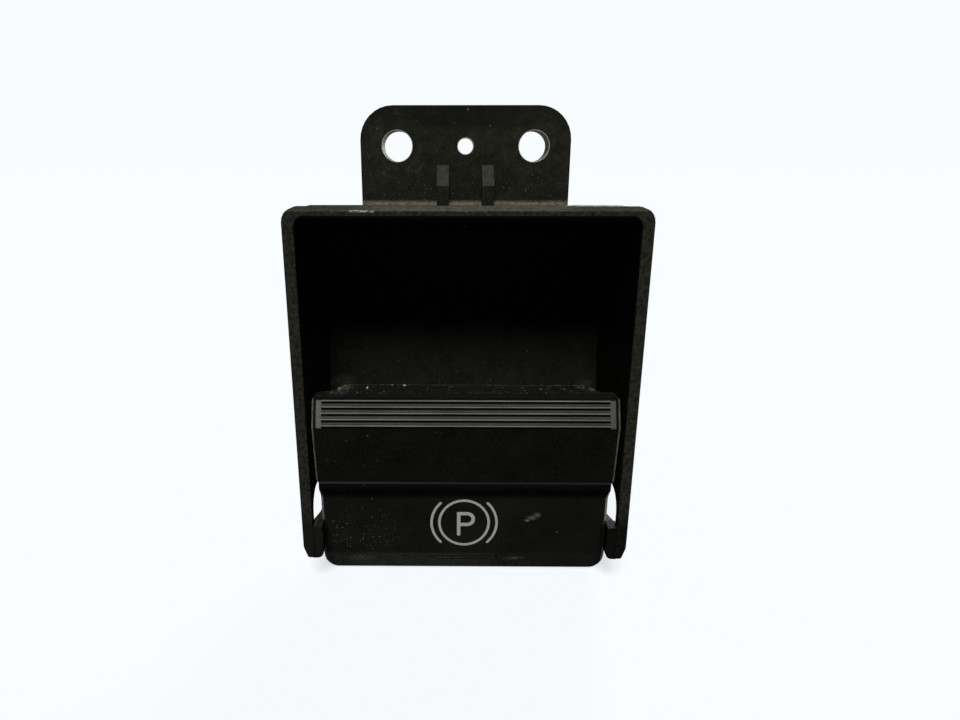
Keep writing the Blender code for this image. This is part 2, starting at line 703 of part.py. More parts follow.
def grip_corner(sign, name, wall):
    """Wedge behind the grip's end: a wing at the front, a chamfer behind it."""
    outer = sign * (LEVER_HALF + BEYOND)
    wing = sign * (LEVER_HALF - WING_WIDTH - wall)
    front = WING_DEPTH - wall
    run = CHAMFER_RUN * (LIP_REAR + BEYOND - front) / (LIP_REAR - WING_DEPTH)
    outline = [(outer, front), (wing, front), (wing - sign * run, LIP_REAR + BEYOND), (outer, LIP_REAR + BEYOND)]
    return prism(f"{name}_{sign}", "Z", outline, (LEVER_TOP - BEYOND, WING_BOTTOM + wall))


def step_corner(sign):
    """Rounding of the face's lower corner, above the step."""
    start = STEP_TOP_DROP - STEP_CORNER
    end = STEP_TOP_DROP + (PANEL_TOP - STEP_TOP_DROP) / 2
    centre = (LEVER_HALF - STEP_CORNER, start)
    curve = arc(centre, STEP_CORNER, 0.0, STEP_CORNER_SWEEP, 4)
    outline = [(LEVER_HALF + BEYOND, start), *curve, (LEVER_HALF, end), (LEVER_HALF + BEYOND, end)]
    return prism(f"step_corner_{sign}", "Y", [(sign * x, drop) for x, drop in outline],
                 (-BEYOND, (STEP_TOP_DEPTH + PANEL_DEPTH) / 2))


def screw_post(sign):
    """Post inside the cover for a lever screw."""
    return bar(f"screw_post_{sign}", "Y", LEVER_POST_RADIUS, (sign * LEVER_SCREW_OFFSET, LEVER_SCREW_DROP),
               (0.0, CARRIER_FRONT - GAP))


def lever_hollow():
    """Inside of the lever cover, open to the rear below the grip."""
    wall = LEVER_WALL
    inside_bottom = LEVER_BOTTOM - wall
    rear = CHEEK_DEPTH + BEYOND
    outline = [
        (LIP_REAR - wall, LEVER_TOP + wall),
        (LIP_REAR - wall, SKIRT_DROP),
        (rear, SKIRT_DROP),
        (rear, inside_bottom),
        (PANEL_DEPTH + wall + (inside_bottom - PANEL_BOTTOM) * BEVEL_SLOPE, inside_bottom),
        (PANEL_DEPTH + wall, PANEL_BOTTOM),
        (PANEL_DEPTH + wall, PANEL_TOP),
        (STEP_TOP_DEPTH + wall, STEP_TOP_DROP),
        (CREASE_DEPTH + wall, CREASE_DROP),
        (LIP_FRONT + wall, LEVER_TOP + wall),
    ]
    hollow = prism("lever_hollow", "X", outline, (-CHEEK_INNER, CHEEK_INNER))
    for sign, _ in SIDES:
        cut(hollow, grip_corner(sign, "grip_wall", wall), screw_post(sign))
    return hollow


def grip_rib(index):
    """One grip rib across the leaning facet."""
    start = Vector((LIP_FRONT, LEVER_TOP))
    along = (Vector((CREASE_DEPTH, CREASE_DROP)) - start).normalized()
    centre = start + along * (RIB_FIRST + index * RIB_PITCH)
    return bar(f"grip_rib_{index}", "X", RIB_RADIUS, centre, (-RIB_HALF_LENGTH, RIB_HALF_LENGTH), sides=10)


def build_lever_cover():
    """Visible lever shell with its ribbed grip, step and lower panel."""
    cover = prism("lever_cover", "X", lever_profile(), (-LEVER_HALF - BEYOND, LEVER_HALF + BEYOND),
                  material("lever_plastic", (0.010, 0.010, 0.009), 0.42))
    front = rounded([
        (-LEVER_HALF, LEVER_TOP, LEVER_TOP_CORNER),
        (LEVER_HALF, LEVER_TOP, LEVER_TOP_CORNER),
        (LEVER_HALF, LEVER_BOTTOM, LEVER_BOTTOM_CORNER),
        (-LEVER_HALF, LEVER_BOTTOM, LEVER_BOTTOM_CORNER),
    ], steps=5)
    combine(cover, prism("lever_outline", "Y", front, (-BEYOND, CHEEK_DEPTH + BEYOND)), "INTERSECT")
    bevel_edges(cover, LEVER_EDGE, 2, 60.0)
    for sign, _ in SIDES:
        cut(cover, grip_corner(sign, "grip_corner", 0.0), step_corner(sign))
    cut(cover, lever_hollow())
    join(cover, *[grip_rib(index) for index in range(RIB_COUNT)])
    for sign, _ in SIDES:
        cut(cover, bar(f"screw_pilot_{sign}", "Y", SCREW_BORE, (sign * LEVER_SCREW_OFFSET, LEVER_SCREW_DROP),
                       (CARRIER_FRONT - LEVER_SCREW_BITE - GAP, CARRIER_FRONT), sides=12))
    half = SLOT_WIDTH / 2
    cut(cover, box("indicator_slot", (-half, half), (PANEL_DEPTH - BEYOND, LENS_BASE_FRONT),
                   (SLOT_DROP - SLOT_HEIGHT / 2, SLOT_DROP + SLOT_HEIGHT / 2)))
    return cover


def build_carrier():
    """Inner moulding of the lever: plate, hub, spring arms and finger."""
    axis = (AXLE_DEPTH, AXLE_DROP)
    carrier = bar("lever_carrier", "X", HUB_RADIUS, axis, (-HUB_HALF_LENGTH, HUB_HALF_LENGTH),
                  material("carrier_plastic", (0.055, 0.055, 0.055), 0.55), sides=24)
    plate = rounded_rectangle((-CARRIER_HALF_WIDTH, CARRIER_HALF_WIDTH), (CARRIER_TOP, CARRIER_BOTTOM), CARRIER_CORNER)
    join(carrier, prism("carrier_plate", "Y", plate, (CARRIER_FRONT, CARRIER_REAR)))
    join(carrier, box("hub_web", (-HUB_HALF_LENGTH + GAP, HUB_HALF_LENGTH - GAP),
                      (CARRIER_REAR - CARRIER_PLATE / 2, AXLE_DEPTH),
                      (AXLE_DROP - HUB_RADIUS / 2, AXLE_DROP + HUB_RADIUS / 2)))
    for sign, _ in SIDES:
        middle = sign * ARM_OFFSET
        join(carrier, box(f"spring_arm_{sign}", (middle - ARM_WIDTH / 2, middle + ARM_WIDTH / 2),
                          (AXLE_DEPTH, SPRING_DEPTH + SPRING_RADIUS + ARM_BEYOND), (ARM_TOP, ARM_UNDER)))
        join(carrier, bar(f"spring_pip_{sign}", "Z", PIP_RADIUS, (middle, SPRING_DEPTH),
                          (ARM_TOP - PIP_HEIGHT, ARM_UNDER + PIP_HEIGHT), sides=10))
        cut(carrier, bar(f"screw_clear_{sign}", "Y", SCREW_BORE, (sign * LEVER_SCREW_OFFSET, LEVER_SCREW_DROP),
                         (CARRIER_FRONT - BEYOND, CARRIER_REAR + BEYOND), sides=12))
    half = FINGER_WIDTH / 2
    join(carrier, box("finger", (-half + GAP / 2, half - GAP / 2), (AXLE_DEPTH, TIP_DEPTH),
                      (AXLE_DROP - FINGER_THICK / 2, AXLE_DROP + FINGER_THICK / 2)))
    join(carrier, bar("finger_tip", "X", FINGER_TIP, (TIP_DEPTH, AXLE_DROP), (-half, half)))
    cut(carrier, bar("hub_bore", "X", BORE_RADIUS, axis, (-HUB_HALF_LENGTH - BEYOND, HUB_HALF_LENGTH + BEYOND)))
    return carrier


def build_axle():
    """Steel axle through the frame's ears and the carrier's hub."""
    half = EAR_OUTER + GAP + CLIP_THICK + AXLE_END
    axle = bar("hinge_axle", "X", AXLE_RADIUS, (AXLE_DEPTH, AXLE_DROP), (-half, half), steel())
    bevel_edges(axle, GAP)
    return axle


def axle_clip(sign, side):
    """Push-on clip that keeps the axle in the ears."""
    ends = sorted((sign * (EAR_OUTER + GAP), sign * (EAR_OUTER + GAP + CLIP_THICK)))
    axis = (AXLE_DEPTH, AXLE_DROP)
    clip = bar(f"axle_clip_{side}", "X", CLIP_RADIUS, axis, ends, spring_steel(), sides=20)
    cut(clip, bar(f"clip_hole_{side}", "X", BORE_RADIUS, axis, (ends[0] - BEYOND, ends[1] + BEYOND)))
    return clip


def ear_axis(sign):
    """Axis of a cover screw, as x and drop."""
    return (sign * (HOUSING_HALF_WIDTH + SIDE_EAR_REACH / 2), SIDE_EAR_MIDDLE)


def guide_half(depth):
    """Half width of the fan-shaped light guide at a depth."""
    share = (GUIDE_REAR - depth) / (GUIDE_REAR - GUIDE_FRONT)
    return GUIDE_TAIL / 2 + share * (SLOT_WIDTH - GUIDE_TAIL) / 2


def build_housing():
    """Module housing: a box open at the rear, with lugs, ears and guides."""
    half = HOUSING_HALF_WIDTH
    housing = box("switch_housing", (-half, half), (HOUSING_FRONT, HOUSING_REAR), (HOUSING_TOP, HOUSING_BOTTOM),
                  material("housing_plastic", (0.03, 0.03, 0.032), 0.6))
    bevel_edges(housing, HOUSING_EDGE)
    for sign, _ in SIDES:
        join(housing, side_block("lug", sign, (ROOM_HALF, half + LUG_WIDTH),
                                 (POST_DEPTH - POST_RADIUS, HOUSING_REAR), (LUG_TOP, LUG_UNDER)))
        join(housing, side_block("side_ear", sign, (ROOM_HALF, half + SIDE_EAR_REACH),
                                 (HOUSING_REAR - SIDE_EAR_DEPTH, HOUSING_REAR),
                                 (SIDE_EAR_TOP, SIDE_EAR_TOP + SIDE_EAR_HEIGHT)))
    cut(housing, box("housing_room", (-ROOM_HALF, ROOM_HALF), (HOUSING_FRONT + HOUSING_WALL, HOUSING_REAR + BEYOND),
                     (HOUSING_CEILING, HOUSING_FLOOR)))
    wall_depths = (HOUSING_FRONT - BEYOND, HOUSING_FRONT + HOUSING_WALL + BEYOND)
    slot_top = ARM_TOP - ARM_SLOT_CLEAR
    for sign, _ in SIDES:
        join(housing, side_block("guide_rail", sign, (RAIL_INSIDE, RAIL_OUTSIDE), (SLIDER_FRONT, BOARD_FRONT - GAP),
                                 (HOUSING_CEILING - HOUSING_WALL / 2, HOUSING_FLOOR + HOUSING_WALL / 2)))
        middle = sign * ARM_OFFSET
        slot_half = ARM_WIDTH / 2 + 2 * GAP
        cut(housing, box(f"arm_slot_{sign}", (middle - slot_half, middle + slot_half), wall_depths,
                         (slot_top, ARM_UNDER + ARM_SLOT_CLEAR)))
        cut(housing, bar(f"lug_hole_{sign}", "Z", SCREW_BORE, (sign * POST_OFFSET, POST_DEPTH),
                         (LUG_TOP - BEYOND, LUG_UNDER + BEYOND), sides=12))
        cut(housing, bar(f"ear_hole_{sign}", "Y", SCREW_BORE, ear_axis(sign),
                         (HOUSING_REAR - SIDE_EAR_DEPTH - BEYOND, HOUSING_REAR + BEYOND), sides=12))
    fan = guide_half(HOUSING_FRONT) + 2 * GAP
    cut(housing, box("finger_slot", (-fan, fan), wall_depths, (slot_top, HOUSING_FLOOR)))
    return housing


def pin_places():
    """Middle of each connector pin, as x and drop."""
    middle = SHROUD_TOP + SHROUD_HEIGHT / 2
    return [
        ((column - (PIN_COLUMNS - 1) / 2) * PIN_PITCH, middle + (row - (PIN_ROWS - 1) / 2) * PIN_PITCH)
        for row in range(PIN_ROWS) for column in range(PIN_COLUMNS)
    ]


def build_rear_cover():
    """Lid of the module with the connector shroud on its back."""
    half = HOUSING_HALF_WIDTH
    cover = box("rear_cover", (-half, half), (COVER_FRONT, COVER_REAR), (HOUSING_TOP, HOUSING_BOTTOM),
                material("cover_plastic", (0.025, 0.025, 0.027), 0.6))
    bevel_edges(cover, HOUSING_EDGE)
    for sign, _ in SIDES:
        join(cover, side_block("cover_ear", sign, (ROOM_HALF, half + SIDE_EAR_REACH), (COVER_FRONT, COVER_REAR),
                               (SIDE_EAR_TOP, SIDE_EAR_TOP + SIDE_EAR_HEIGHT)))
    outer = ROOM_HALF - GAP
    top = HOUSING_CEILING + GAP
    bottom = HOUSING_FLOOR - GAP
    front = BOARD_REAR + GAP
    join(cover, box("spigot", (-outer, outer), (front, COVER_FRONT + COVER_THICK / 2), (top, bottom)))
    cut(cover, box("spigot_hollow", (-outer + SPIGOT_WALL, outer - SPIGOT_WALL), (front - BEYOND, COVER_FRONT),
                   (top + SPIGOT_WALL, bottom - SPIGOT_WALL)))
    shroud_end = COVER_REAR + SHROUD_LENGTH
    shroud_bottom = SHROUD_TOP + SHROUD_HEIGHT
    shroud = rounded_rectangle((-SHROUD_HALF_WIDTH, SHROUD_HALF_WIDTH), (SHROUD_TOP, shroud_bottom), SHROUD_CORNER)
    join(cover, prism("shroud", "Y", shroud, (COVER_REAR - COVER_THICK / 2, shroud_end)))
    join(cover, box("latch_ramp", (-LATCH_HALF_WIDTH, LATCH_HALF_WIDTH),
                    (COVER_REAR - COVER_THICK / 2, shroud_end - LATCH_SETBACK),
                    (SHROUD_TOP - LATCH_HEIGHT, SHROUD_TOP + SHROUD_WALL / 2)))
    cut(cover, box("socket", (-SHROUD_HALF_WIDTH + SHROUD_WALL, SHROUD_HALF_WIDTH - SHROUD_WALL),
                   (COVER_REAR, shroud_end + BEYOND), (SHROUD_TOP + SHROUD_WALL, shroud_bottom - SHROUD_WALL)))
    hole = PIN_SIZE / 2 + GAP
    for index, (x, drop) in enumerate(pin_places()):
        cut(cover, box(f"pin_hole_{index}", (x - hole, x + hole), (COVER_FRONT - BEYOND, COVER_REAR + BEYOND),
                       (drop - hole, drop + hole)))
    for sign, _ in SIDES:
        cut(cover, bar(f"cover_hole_{sign}", "Y", SCREW_BORE, ear_axis(sign),
                       (COVER_FRONT - BEYOND, COVER_REAR + BEYOND), sides=12))
    return cover


def build_board():
    """Circuit board that closes the module's contact room."""
    outline = rounded_rectangle((-BOARD_HALF_WIDTH, BOARD_HALF_WIDTH), (BOARD_TOP, BOARD_BOTTOM), BOARD_CLEAR, 2)
    return prism("circuit_board", "Y", outline, (BOARD_FRONT, BOARD_REAR),
                 material("board_green", (0.01, 0.09, 0.03), 0.45))


def board_component(name, middle, size):
    """A small component on the board's front, by its middle and its size."""
    (x, drop), (width, height, thick) = middle, size
    rear = BOARD_FRONT - GAP
    return box(name, (x - width / 2, x + width / 2), (rear - thick, rear), (drop - height / 2, drop + height / 2),
               material("component_black", (0.02, 0.02, 0.02), 0.5))


def build_board_components():
    """Coding resistors and guard diodes beside the contacts."""
    for sign, side in SIDES:
        x = sign * ARM_OFFSET
        board_component(f"resistor_{side}", (x, BOARD_TOP + BOARD_MARGIN), (4.8 * MM, 2.6 * MM, 1.0 * MM))
        board_component(f"diode_{side}", (x, BOARD_BOTTOM - BOARD_MARGIN), (4.4 * MM, 2.8 * MM, 0.9 * MM))


def build_slider():
    """Contact slider that the carrier's finger lifts and lowers."""
    half = SLIDER_HALF_WIDTH
    slider = box("contact_slider", (-half, half), (SLIDER_FRONT, SLIDER_REAR),
                 (AXLE_DROP - SLIDER_HALF_HEIGHT, AXLE_DROP + SLIDER_HALF_HEIGHT),
                 material("slider_plastic", (0.75, 0.73, 0.66), 0.5))
    slot = FINGER_TIP + GAP
    slot_half = FINGER_WIDTH / 2 + GAP
    cut(slider, box("finger_room", (-slot_half, slot_half), (SLIDER_FRONT - BEYOND, SLIDER_REAR + BEYOND),
                    (AXLE_DROP - slot, AXLE_DROP + slot)))
    return slider


def wiper(sign, side):
    """Copper wiper between the slider's back and the board."""
    x = sign * WIPER_OFFSET
    half = WIPER_WIDTH / 2
    return box(f"contact_wiper_{side}", (x - half, x + half), (SLIDER_REAR + GAP, BOARD_FRONT - GAP / 2),
               (AXLE_DROP - WIPER_HEIGHT / 2, AXLE_DROP + WIPER_HEIGHT / 2),
               material("copper", (0.80, 0.45, 0.28), 0.3, 1.0))


def build_pins():
    """Connector pins from the board into the socket."""
    start = BOARD_REAR + GAP
    half = PIN_SIZE / 2
    for index, (x, drop) in enumerate(pin_places()):
        box(f"terminal_pin_{index + 1}", (x - half, x + half), (start, start + PIN_LENGTH),
            (drop - half, drop + half), material("tinned_brass", (0.70, 0.66, 0.55), 0.3, 1.0))


def coil_spring(name, x, start, end):
    """Coil spring with its axis upright, between two drops."""
    curve = bpy.data.curves.new(name, "CURVE")
    curve.dimensions = "3D"
    curve.bevel_depth = SPRING_WIRE
    curve.bevel_resolution = 1
    curve.use_fill_caps = True
    count = SPRING_TURNS * SPRING_STEPS
    line = curve.splines.new("POLY")
    line.points.add(count)
    first = TOP_Z - start - SPRING_WIRE
    last = TOP_Z - end + SPRING_WIRE
    for index, point in enumerate(line.points):
        turn = 2 * math.pi * index / SPRING_STEPS
        point.co = (x + SPRING_RADIUS * math.cos(turn), RIM_Y + SPRING_DEPTH + SPRING_RADIUS * math.sin(turn),
                    first + (last - first) * index / count, 1.0)
    return add_object(name, curve_to_bmesh(curve), spring_steel())


def build_springs():
    """Four return springs, above and below the carrier's arms."""
    for sign, side in SIDES:
        x = sign * ARM_OFFSET
        coil_spring(f"return_spring_upper_{side}", x, HOUSING_CEILING + GAP, ARM_TOP - GAP)
        coil_spring(f"return_spring_lower_{side}", x, ARM_UNDER + GAP, HOUSING_FLOOR - GAP)


def build_lens():
    """Indicator window: a bar in the slot on a base behind the skin."""
    half = SLOT_WIDTH / 2
    tall = SLOT_HEIGHT / 2
    lens = box("indicator_lens", (-half - LENS_BASE_MARGIN, half + LENS_BASE_MARGIN),
               (LENS_BASE_FRONT, LENS_BASE_REAR), (SLOT_DROP - tall, SLOT_DROP + tall),
               material("smoked_lens", (0.02, 0.02, 0.022), 0.12))
    join(lens, box("lens_bar", (-half + GAP, half - GAP), (SLOT_DEPTH + LENS_RECESS, LENS_BASE_REAR - GAP),
                   (SLOT_DROP - tall + GAP, SLOT_DROP + tall - GAP)))
    return lens


def build_light_guide():
    """Clear bar that fans out from the light source to the lens."""
    narrow = GUIDE_TAIL / 2
    wide = SLOT_WIDTH / 2
    outline = [(-wide, GUIDE_FRONT), (wide, GUIDE_FRONT), (narrow, GUIDE_REAR), (-narrow, GUIDE_REAR)]
    guide = prism("light_guide", "Z", outline, (SLOT_DROP - GUIDE_THICK / 2, SLOT_DROP + GUIDE_THICK / 2),
                  material("clear_plastic", (0.8, 0.82, 0.84), 0.1))
    rise = (SLOT_DROP - GUIDE_REAR_DROP) / (GUIDE_REAR - GUIDE_FRONT)
    for vertex in guide.data.vertices:
        vertex.co.z += (vertex.co.y - RIM_Y - GUIDE_FRONT) * rise
    return guide


def build_led():
    """Light source on the board behind the light guide."""
    rear = BOARD_FRONT - GAP
    return box("indicator_led", (-LED_WIDTH / 2, LED_WIDTH / 2), (rear - LED_THICK, rear),
               (GUIDE_REAR_DROP - LED_HEIGHT / 2, GUIDE_REAR_DROP + LED_HEIGHT / 2),
               material("led_white", (0.8, 0.78, 0.6), 0.3))


def screw(name, axis, centre, under_head, tip):
    """Pan-head screw along an axis, from under its head to its tip."""
    away = math.copysign(1.0, under_head - tip)
    piece = bar(name, axis, SCREW_HEAD_RADIUS, centre, sorted((under_head, under_head + away * SCREW_HEAD)), steel())
    bevel_edges(piece, GAP)
    join(piece, bar(name + "_shank", axis, SCREW_RADIUS, centre, sorted((tip, under_head + away * SCREW_HEAD / 2)),
                    sides=10))
    return piece


def lever_screw(sign, side):
    """Screw that holds the cover on the carrier."""
    return screw(f"lever_screw_{side}", "Y", (sign * LEVER_SCREW_OFFSET, LEVER_SCREW_DROP),
                 CARRIER_REAR + GAP, CARRIER_FRONT - LEVER_SCREW_BITE)


def module_screw(sign, side):
    """Screw that holds the module under the frame's scoop."""
    return screw(f"module_screw_{side}", "Z", (sign * POST_OFFSET, POST_DEPTH), LUG_UNDER + GAP, POST_HOLE_TOP + GAP)


def cover_screw(sign, side):
    """Screw that closes the module's rear cover."""
    return screw(f"cover_screw_{side}", "Y", ear_axis(sign), COVER_REAR + GAP, HOUSING_REAR - SIDE_EAR_DEPTH + GAP)


def stop_buffer(sign, side):
    """Rubber clip on the pocket floor's front edge, which stops the push."""
    front = FLOOR_FRONT - GAP - BUFFER_FACE
    inside = FLOOR_FRONT - GAP
    rear = FLOOR_FRONT + BUFFER_GRIP
    top = FLOOR_DROP - GAP
    under = FLOOR_UNDER + GAP
    outline = [
        (front, top - BUFFER_ARM), (rear, top - BUFFER_ARM), (rear, top), (inside, top),
        (inside, under), (rear, under), (rear, under + BUFFER_ARM), (front, under + BUFFER_ARM),
    ]
    middle = sign * (EAR_INNER - BUFFER_TO_EAR - BUFFER_WIDTH / 2)
    return prism(f"stop_buffer_{side}", "X", outline, (middle - BUFFER_WIDTH / 2, middle + BUFFER_WIDTH / 2),
                 material("rubber", (0.02, 0.02, 0.02), 0.85))


def hang_on_pivot(name, depth, drop, pieces):
    """Parent moving pieces to an empty on their joint's axis."""
    pivot = bpy.data.objects.new(name, None)
    pivot.location = (0.0, RIM_Y + depth, TOP_Z - drop)
    collection(PARTS).objects.link(pivot)
    for piece in pieces:
        piece.data.transform(Matrix.Translation(-pivot.location))
        piece.parent = pivot


def shade_round_pieces():
    """Bake each part's modifiers and smooth its round faces."""
    for piece in collection(PARTS).objects:
        if piece.type != "MESH":
            continue
        evaluated = piece.evaluated_get(bpy.context.evaluated_depsgraph_get())
        mesh = bpy.data.meshes.new_from_object(evaluated)
        mesh.name = piece.name
        mesh.shade_smooth()
        mesh.set_sharp_from_angle(angle=math.radians(35.0))
        piece.modifiers.clear()
        piece.data = mesh


def main():
    """Build every piece and hang the moving ones on their pivots."""
    clear_scene()
    build_frame()
    lever = [build_lever_cover(), build_carrier(), build_lens(), build_light_guide()]
    slider = [build_slider()]
    build_axle()
    build_housing()
    build_rear_cover()
    build_board()
    build_board_components()
    build_led()
    build_pins()
    build_springs()
    for sign, side in SIDES:
        axle_clip(sign, side)
        stop_buffer(sign, side)
        module_screw(sign, side)
        cover_screw(sign, side)
        lever.append(lever_screw(sign, side))
        slider.append(wiper(sign, side))
    shade_round_pieces()
    hang_on_pivot("lever_pivot", AXLE_DEPTH, AXLE_DROP, lever)
    hang_on_pivot("slider_pivot", TIP_DEPTH, AXLE_DROP, slider)


main()
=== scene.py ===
"""Looks of the electric parking brake switch: finishes, printed symbol, dust, light and camera."""
import json
import math

import bmesh
import bpy
from mathutils import Euler, Matrix, Vector


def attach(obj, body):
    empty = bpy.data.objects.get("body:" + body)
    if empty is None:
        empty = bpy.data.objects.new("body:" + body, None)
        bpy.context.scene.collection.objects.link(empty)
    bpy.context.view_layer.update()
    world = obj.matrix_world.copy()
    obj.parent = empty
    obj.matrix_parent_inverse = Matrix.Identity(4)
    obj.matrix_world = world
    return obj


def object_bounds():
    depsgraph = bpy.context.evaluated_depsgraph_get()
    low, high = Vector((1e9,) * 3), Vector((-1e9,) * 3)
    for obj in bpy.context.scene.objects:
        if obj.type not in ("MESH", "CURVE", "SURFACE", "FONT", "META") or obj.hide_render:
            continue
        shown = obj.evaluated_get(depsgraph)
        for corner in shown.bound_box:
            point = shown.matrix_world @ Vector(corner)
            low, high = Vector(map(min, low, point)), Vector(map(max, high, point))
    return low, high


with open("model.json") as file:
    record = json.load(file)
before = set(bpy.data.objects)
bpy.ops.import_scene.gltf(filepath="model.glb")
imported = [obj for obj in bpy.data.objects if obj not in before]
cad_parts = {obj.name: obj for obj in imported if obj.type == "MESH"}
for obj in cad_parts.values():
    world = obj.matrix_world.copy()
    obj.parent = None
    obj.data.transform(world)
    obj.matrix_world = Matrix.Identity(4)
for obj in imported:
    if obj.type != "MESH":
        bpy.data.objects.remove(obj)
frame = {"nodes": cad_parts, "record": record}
cad_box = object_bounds()

MM = 0.001
PLATE_RISE = 20.9 * MM              # the plate's top edge above the frame's top face
RIM_Y = cad_box[0][1]
TOP_Z = cad_box[1][2] - PLATE_RISE
LENS = 24.32
SENSOR_WIDTH = 36.0
LENS_SHIFT = 0.0375
CAMERA_PLACE = (-3.41 * MM, -155.71 * MM, -4.28 * MM)
CAMERA_PITCH = 73.39                # degrees; 90 would look level
CAMERA_TURN = 0.5
BACKDROP = (0.939, 0.973, 1.0)
WORLD_LIGHT = 0.05
FLOOR_TONE = 0.30
FLOOR_GLOW = 0.72
FLOOR_SIZE = 40.0
FLOOR_GAP = 0.2 * MM
SIDES = ((-1, "left"), (1, "right"))


def deep(depth):
    """Y of a depth in mm behind the frame's rim."""
    return RIM_Y + depth * MM


def down(drop):
    """Z of a drop in mm below the frame's top face."""
    return TOP_Z - drop * MM


# Camera

def add_camera():
    """The photograph's viewpoint: close, in front of the part and a little above it."""
    data = bpy.data.cameras.new("camera")
    data.lens = LENS
    data.sensor_width = SENSOR_WIDTH
    data.shift_x = LENS_SHIFT
    data.clip_start = 0.01
    data.clip_end = 100.0
    camera = bpy.data.objects.new("camera", data)
    camera.location = CAMERA_PLACE
    camera.rotation_euler = (math.radians(CAMERA_PITCH), 0.0, math.radians(CAMERA_TURN))
    bpy.context.scene.collection.objects.link(camera)
    bpy.context.scene.camera = camera


# Node building

class Finish:
    """A Principled material that is built up from procedural nodes."""

    def __init__(self, name, roughness, specular, metallic=0.0):
        self.material = bpy.data.materials.new(name)
        self.material.use_nodes = True
        self.nodes = self.material.node_tree.nodes
        self.links = self.material.node_tree.links
        self.shader = self.nodes["Principled BSDF"]
        self.shader.inputs["Roughness"].default_value = roughness
        self.shader.inputs["Metallic"].default_value = metallic
        self.shader.inputs["Specular IOR Level"].default_value = specular
        coordinates = self.nodes.new("ShaderNodeTexCoord")
        self.place = coordinates.outputs["Object"]
        self.normal = coordinates.outputs["Normal"]

    def feed(self, value, socket):
        """Put a number, a colour or another node's output into a socket."""
        if isinstance(value, bpy.types.NodeSocket):
            self.links.new(value, socket)
        elif isinstance(value, tuple):
            socket.default_value = (*value, 1.0)
        else:
            socket.default_value = value

    def math(self, operation, first, second=0.0, clamp=False):
        """One Math node."""
        node = self.nodes.new("ShaderNodeMath")
        node.operation = operation
        node.use_clamp = clamp
        self.feed(first, node.inputs[0])
        self.feed(second, node.inputs[1])
        return node.outputs[0]

    def product(self, *values):
        """Several values multiplied."""
        result = values[0]
        for value in values[1:]:
            result = self.math("MULTIPLY", result, value)
        return result

    def most(self, *values):
        """The largest of several values."""
        result = values[0]
        for value in values[1:]:
            result = self.math("MAXIMUM", result, value)
        return result

    def ramp(self, value, low, high, start=0.0, end=1.0):
        """A smooth step from start to end as the value goes from low to high."""
        node = self.nodes.new("ShaderNodeMapRange")
        node.interpolation_type = "SMOOTHSTEP"
        self.feed(value, node.inputs["Value"])
        node.inputs["From Min"].default_value = low
        node.inputs["From Max"].default_value = high
        node.inputs["To Min"].default_value = start
        node.inputs["To Max"].default_value = end
        return node.outputs["Result"]

    def stretched(self, scale):
        """The object's own coordinates, stretched along each axis."""
        node = self.nodes.new("ShaderNodeMapping")
        self.feed(self.place, node.inputs["Vector"])
        node.inputs["Scale"].default_value = scale
        return node.outputs["Vector"]

    def noise(self, size, detail=2.0, stretch=None, rough=0.5):
        """Noise whose spots are about size mm across, from 0 to 1."""
        node = self.nodes.new("ShaderNodeTexNoise")
        node.inputs["Scale"].default_value = 1.0 / (size * MM)
        node.inputs["Detail"].default_value = detail
        node.inputs["Roughness"].default_value = rough
        self.feed(self.stretched(stretch) if stretch else self.place, node.inputs["Vector"])
        return node.outputs["Fac"]

    def specks(self, spacing, radius, share, stretch=None):
        """Small round specks in mm; share is how many of the cells hold one."""
        node = self.nodes.new("ShaderNodeTexVoronoi")
        node.inputs["Scale"].default_value = 1.0 / (spacing * MM)
        self.feed(self.stretched(stretch) if stretch else self.place, node.inputs["Vector"])
        parts = self.nodes.new("ShaderNodeSeparateColor")
        self.feed(node.outputs["Color"], parts.inputs[0])
        chosen = self.math("LESS_THAN", parts.outputs[0], share)
        size = self.math("MULTIPLY", self.math("ADD", parts.outputs[1], 0.5), radius / spacing)
        near = self.math("SUBTRACT", 1.0, self.math("DIVIDE", node.outputs["Distance"], size), clamp=True)
        return self.product(chosen, self.ramp(near, 0.0, 0.45))

    def axes(self, vector):
        """X, Y and Z of a vector."""
        node = self.nodes.new("ShaderNodeSeparateXYZ")
        self.feed(vector, node.inputs[0])
        return node.outputs[0], node.outputs[1], node.outputs[2]

    def band(self, value, low, high, soft):
        """1 between two values, falling to 0 over a soft edge."""
        rise = self.ramp(value, low - soft, low + soft)
        fall = self.ramp(value, high - soft, high + soft, 1.0, 0.0)
        return self.product(rise, fall)

    def spot(self, place, radii, edge=0.6):
        """1 inside an ellipsoid at an x, depth and drop in mm, falling to 0 at its surface."""
        x, depth, drop = place
        node = self.nodes.new("ShaderNodeMapping")
        node.vector_type = "TEXTURE"
        node.inputs["Location"].default_value = (x * MM, deep(depth), down(drop))
        node.inputs["Scale"].default_value = tuple(radius * MM for radius in radii)
        self.feed(self.place, node.inputs["Vector"])
        size = self.nodes.new("ShaderNodeVectorMath")
        size.operation = "LENGTH"
        self.feed(node.outputs["Vector"], size.inputs[0])
        return self.ramp(size.outputs["Value"], edge, 1.0, 1.0, 0.0)

    def mix(self, factor, first, second):
        """One colour over another."""
        node = self.nodes.new("ShaderNodeMix")
        node.data_type = "RGBA"
        self.feed(factor, node.inputs["Factor"])
        self.feed(first, node.inputs["A"])
        self.feed(second, node.inputs["B"])
        return node.outputs["Result"]

    def colour(self, value):
        """Set the base colour."""
        self.feed(value, self.shader.inputs["Base Color"])

    def roughness(self, value):
        """Set a roughness that varies over the surface."""
        self.feed(value, self.shader.inputs["Roughness"])

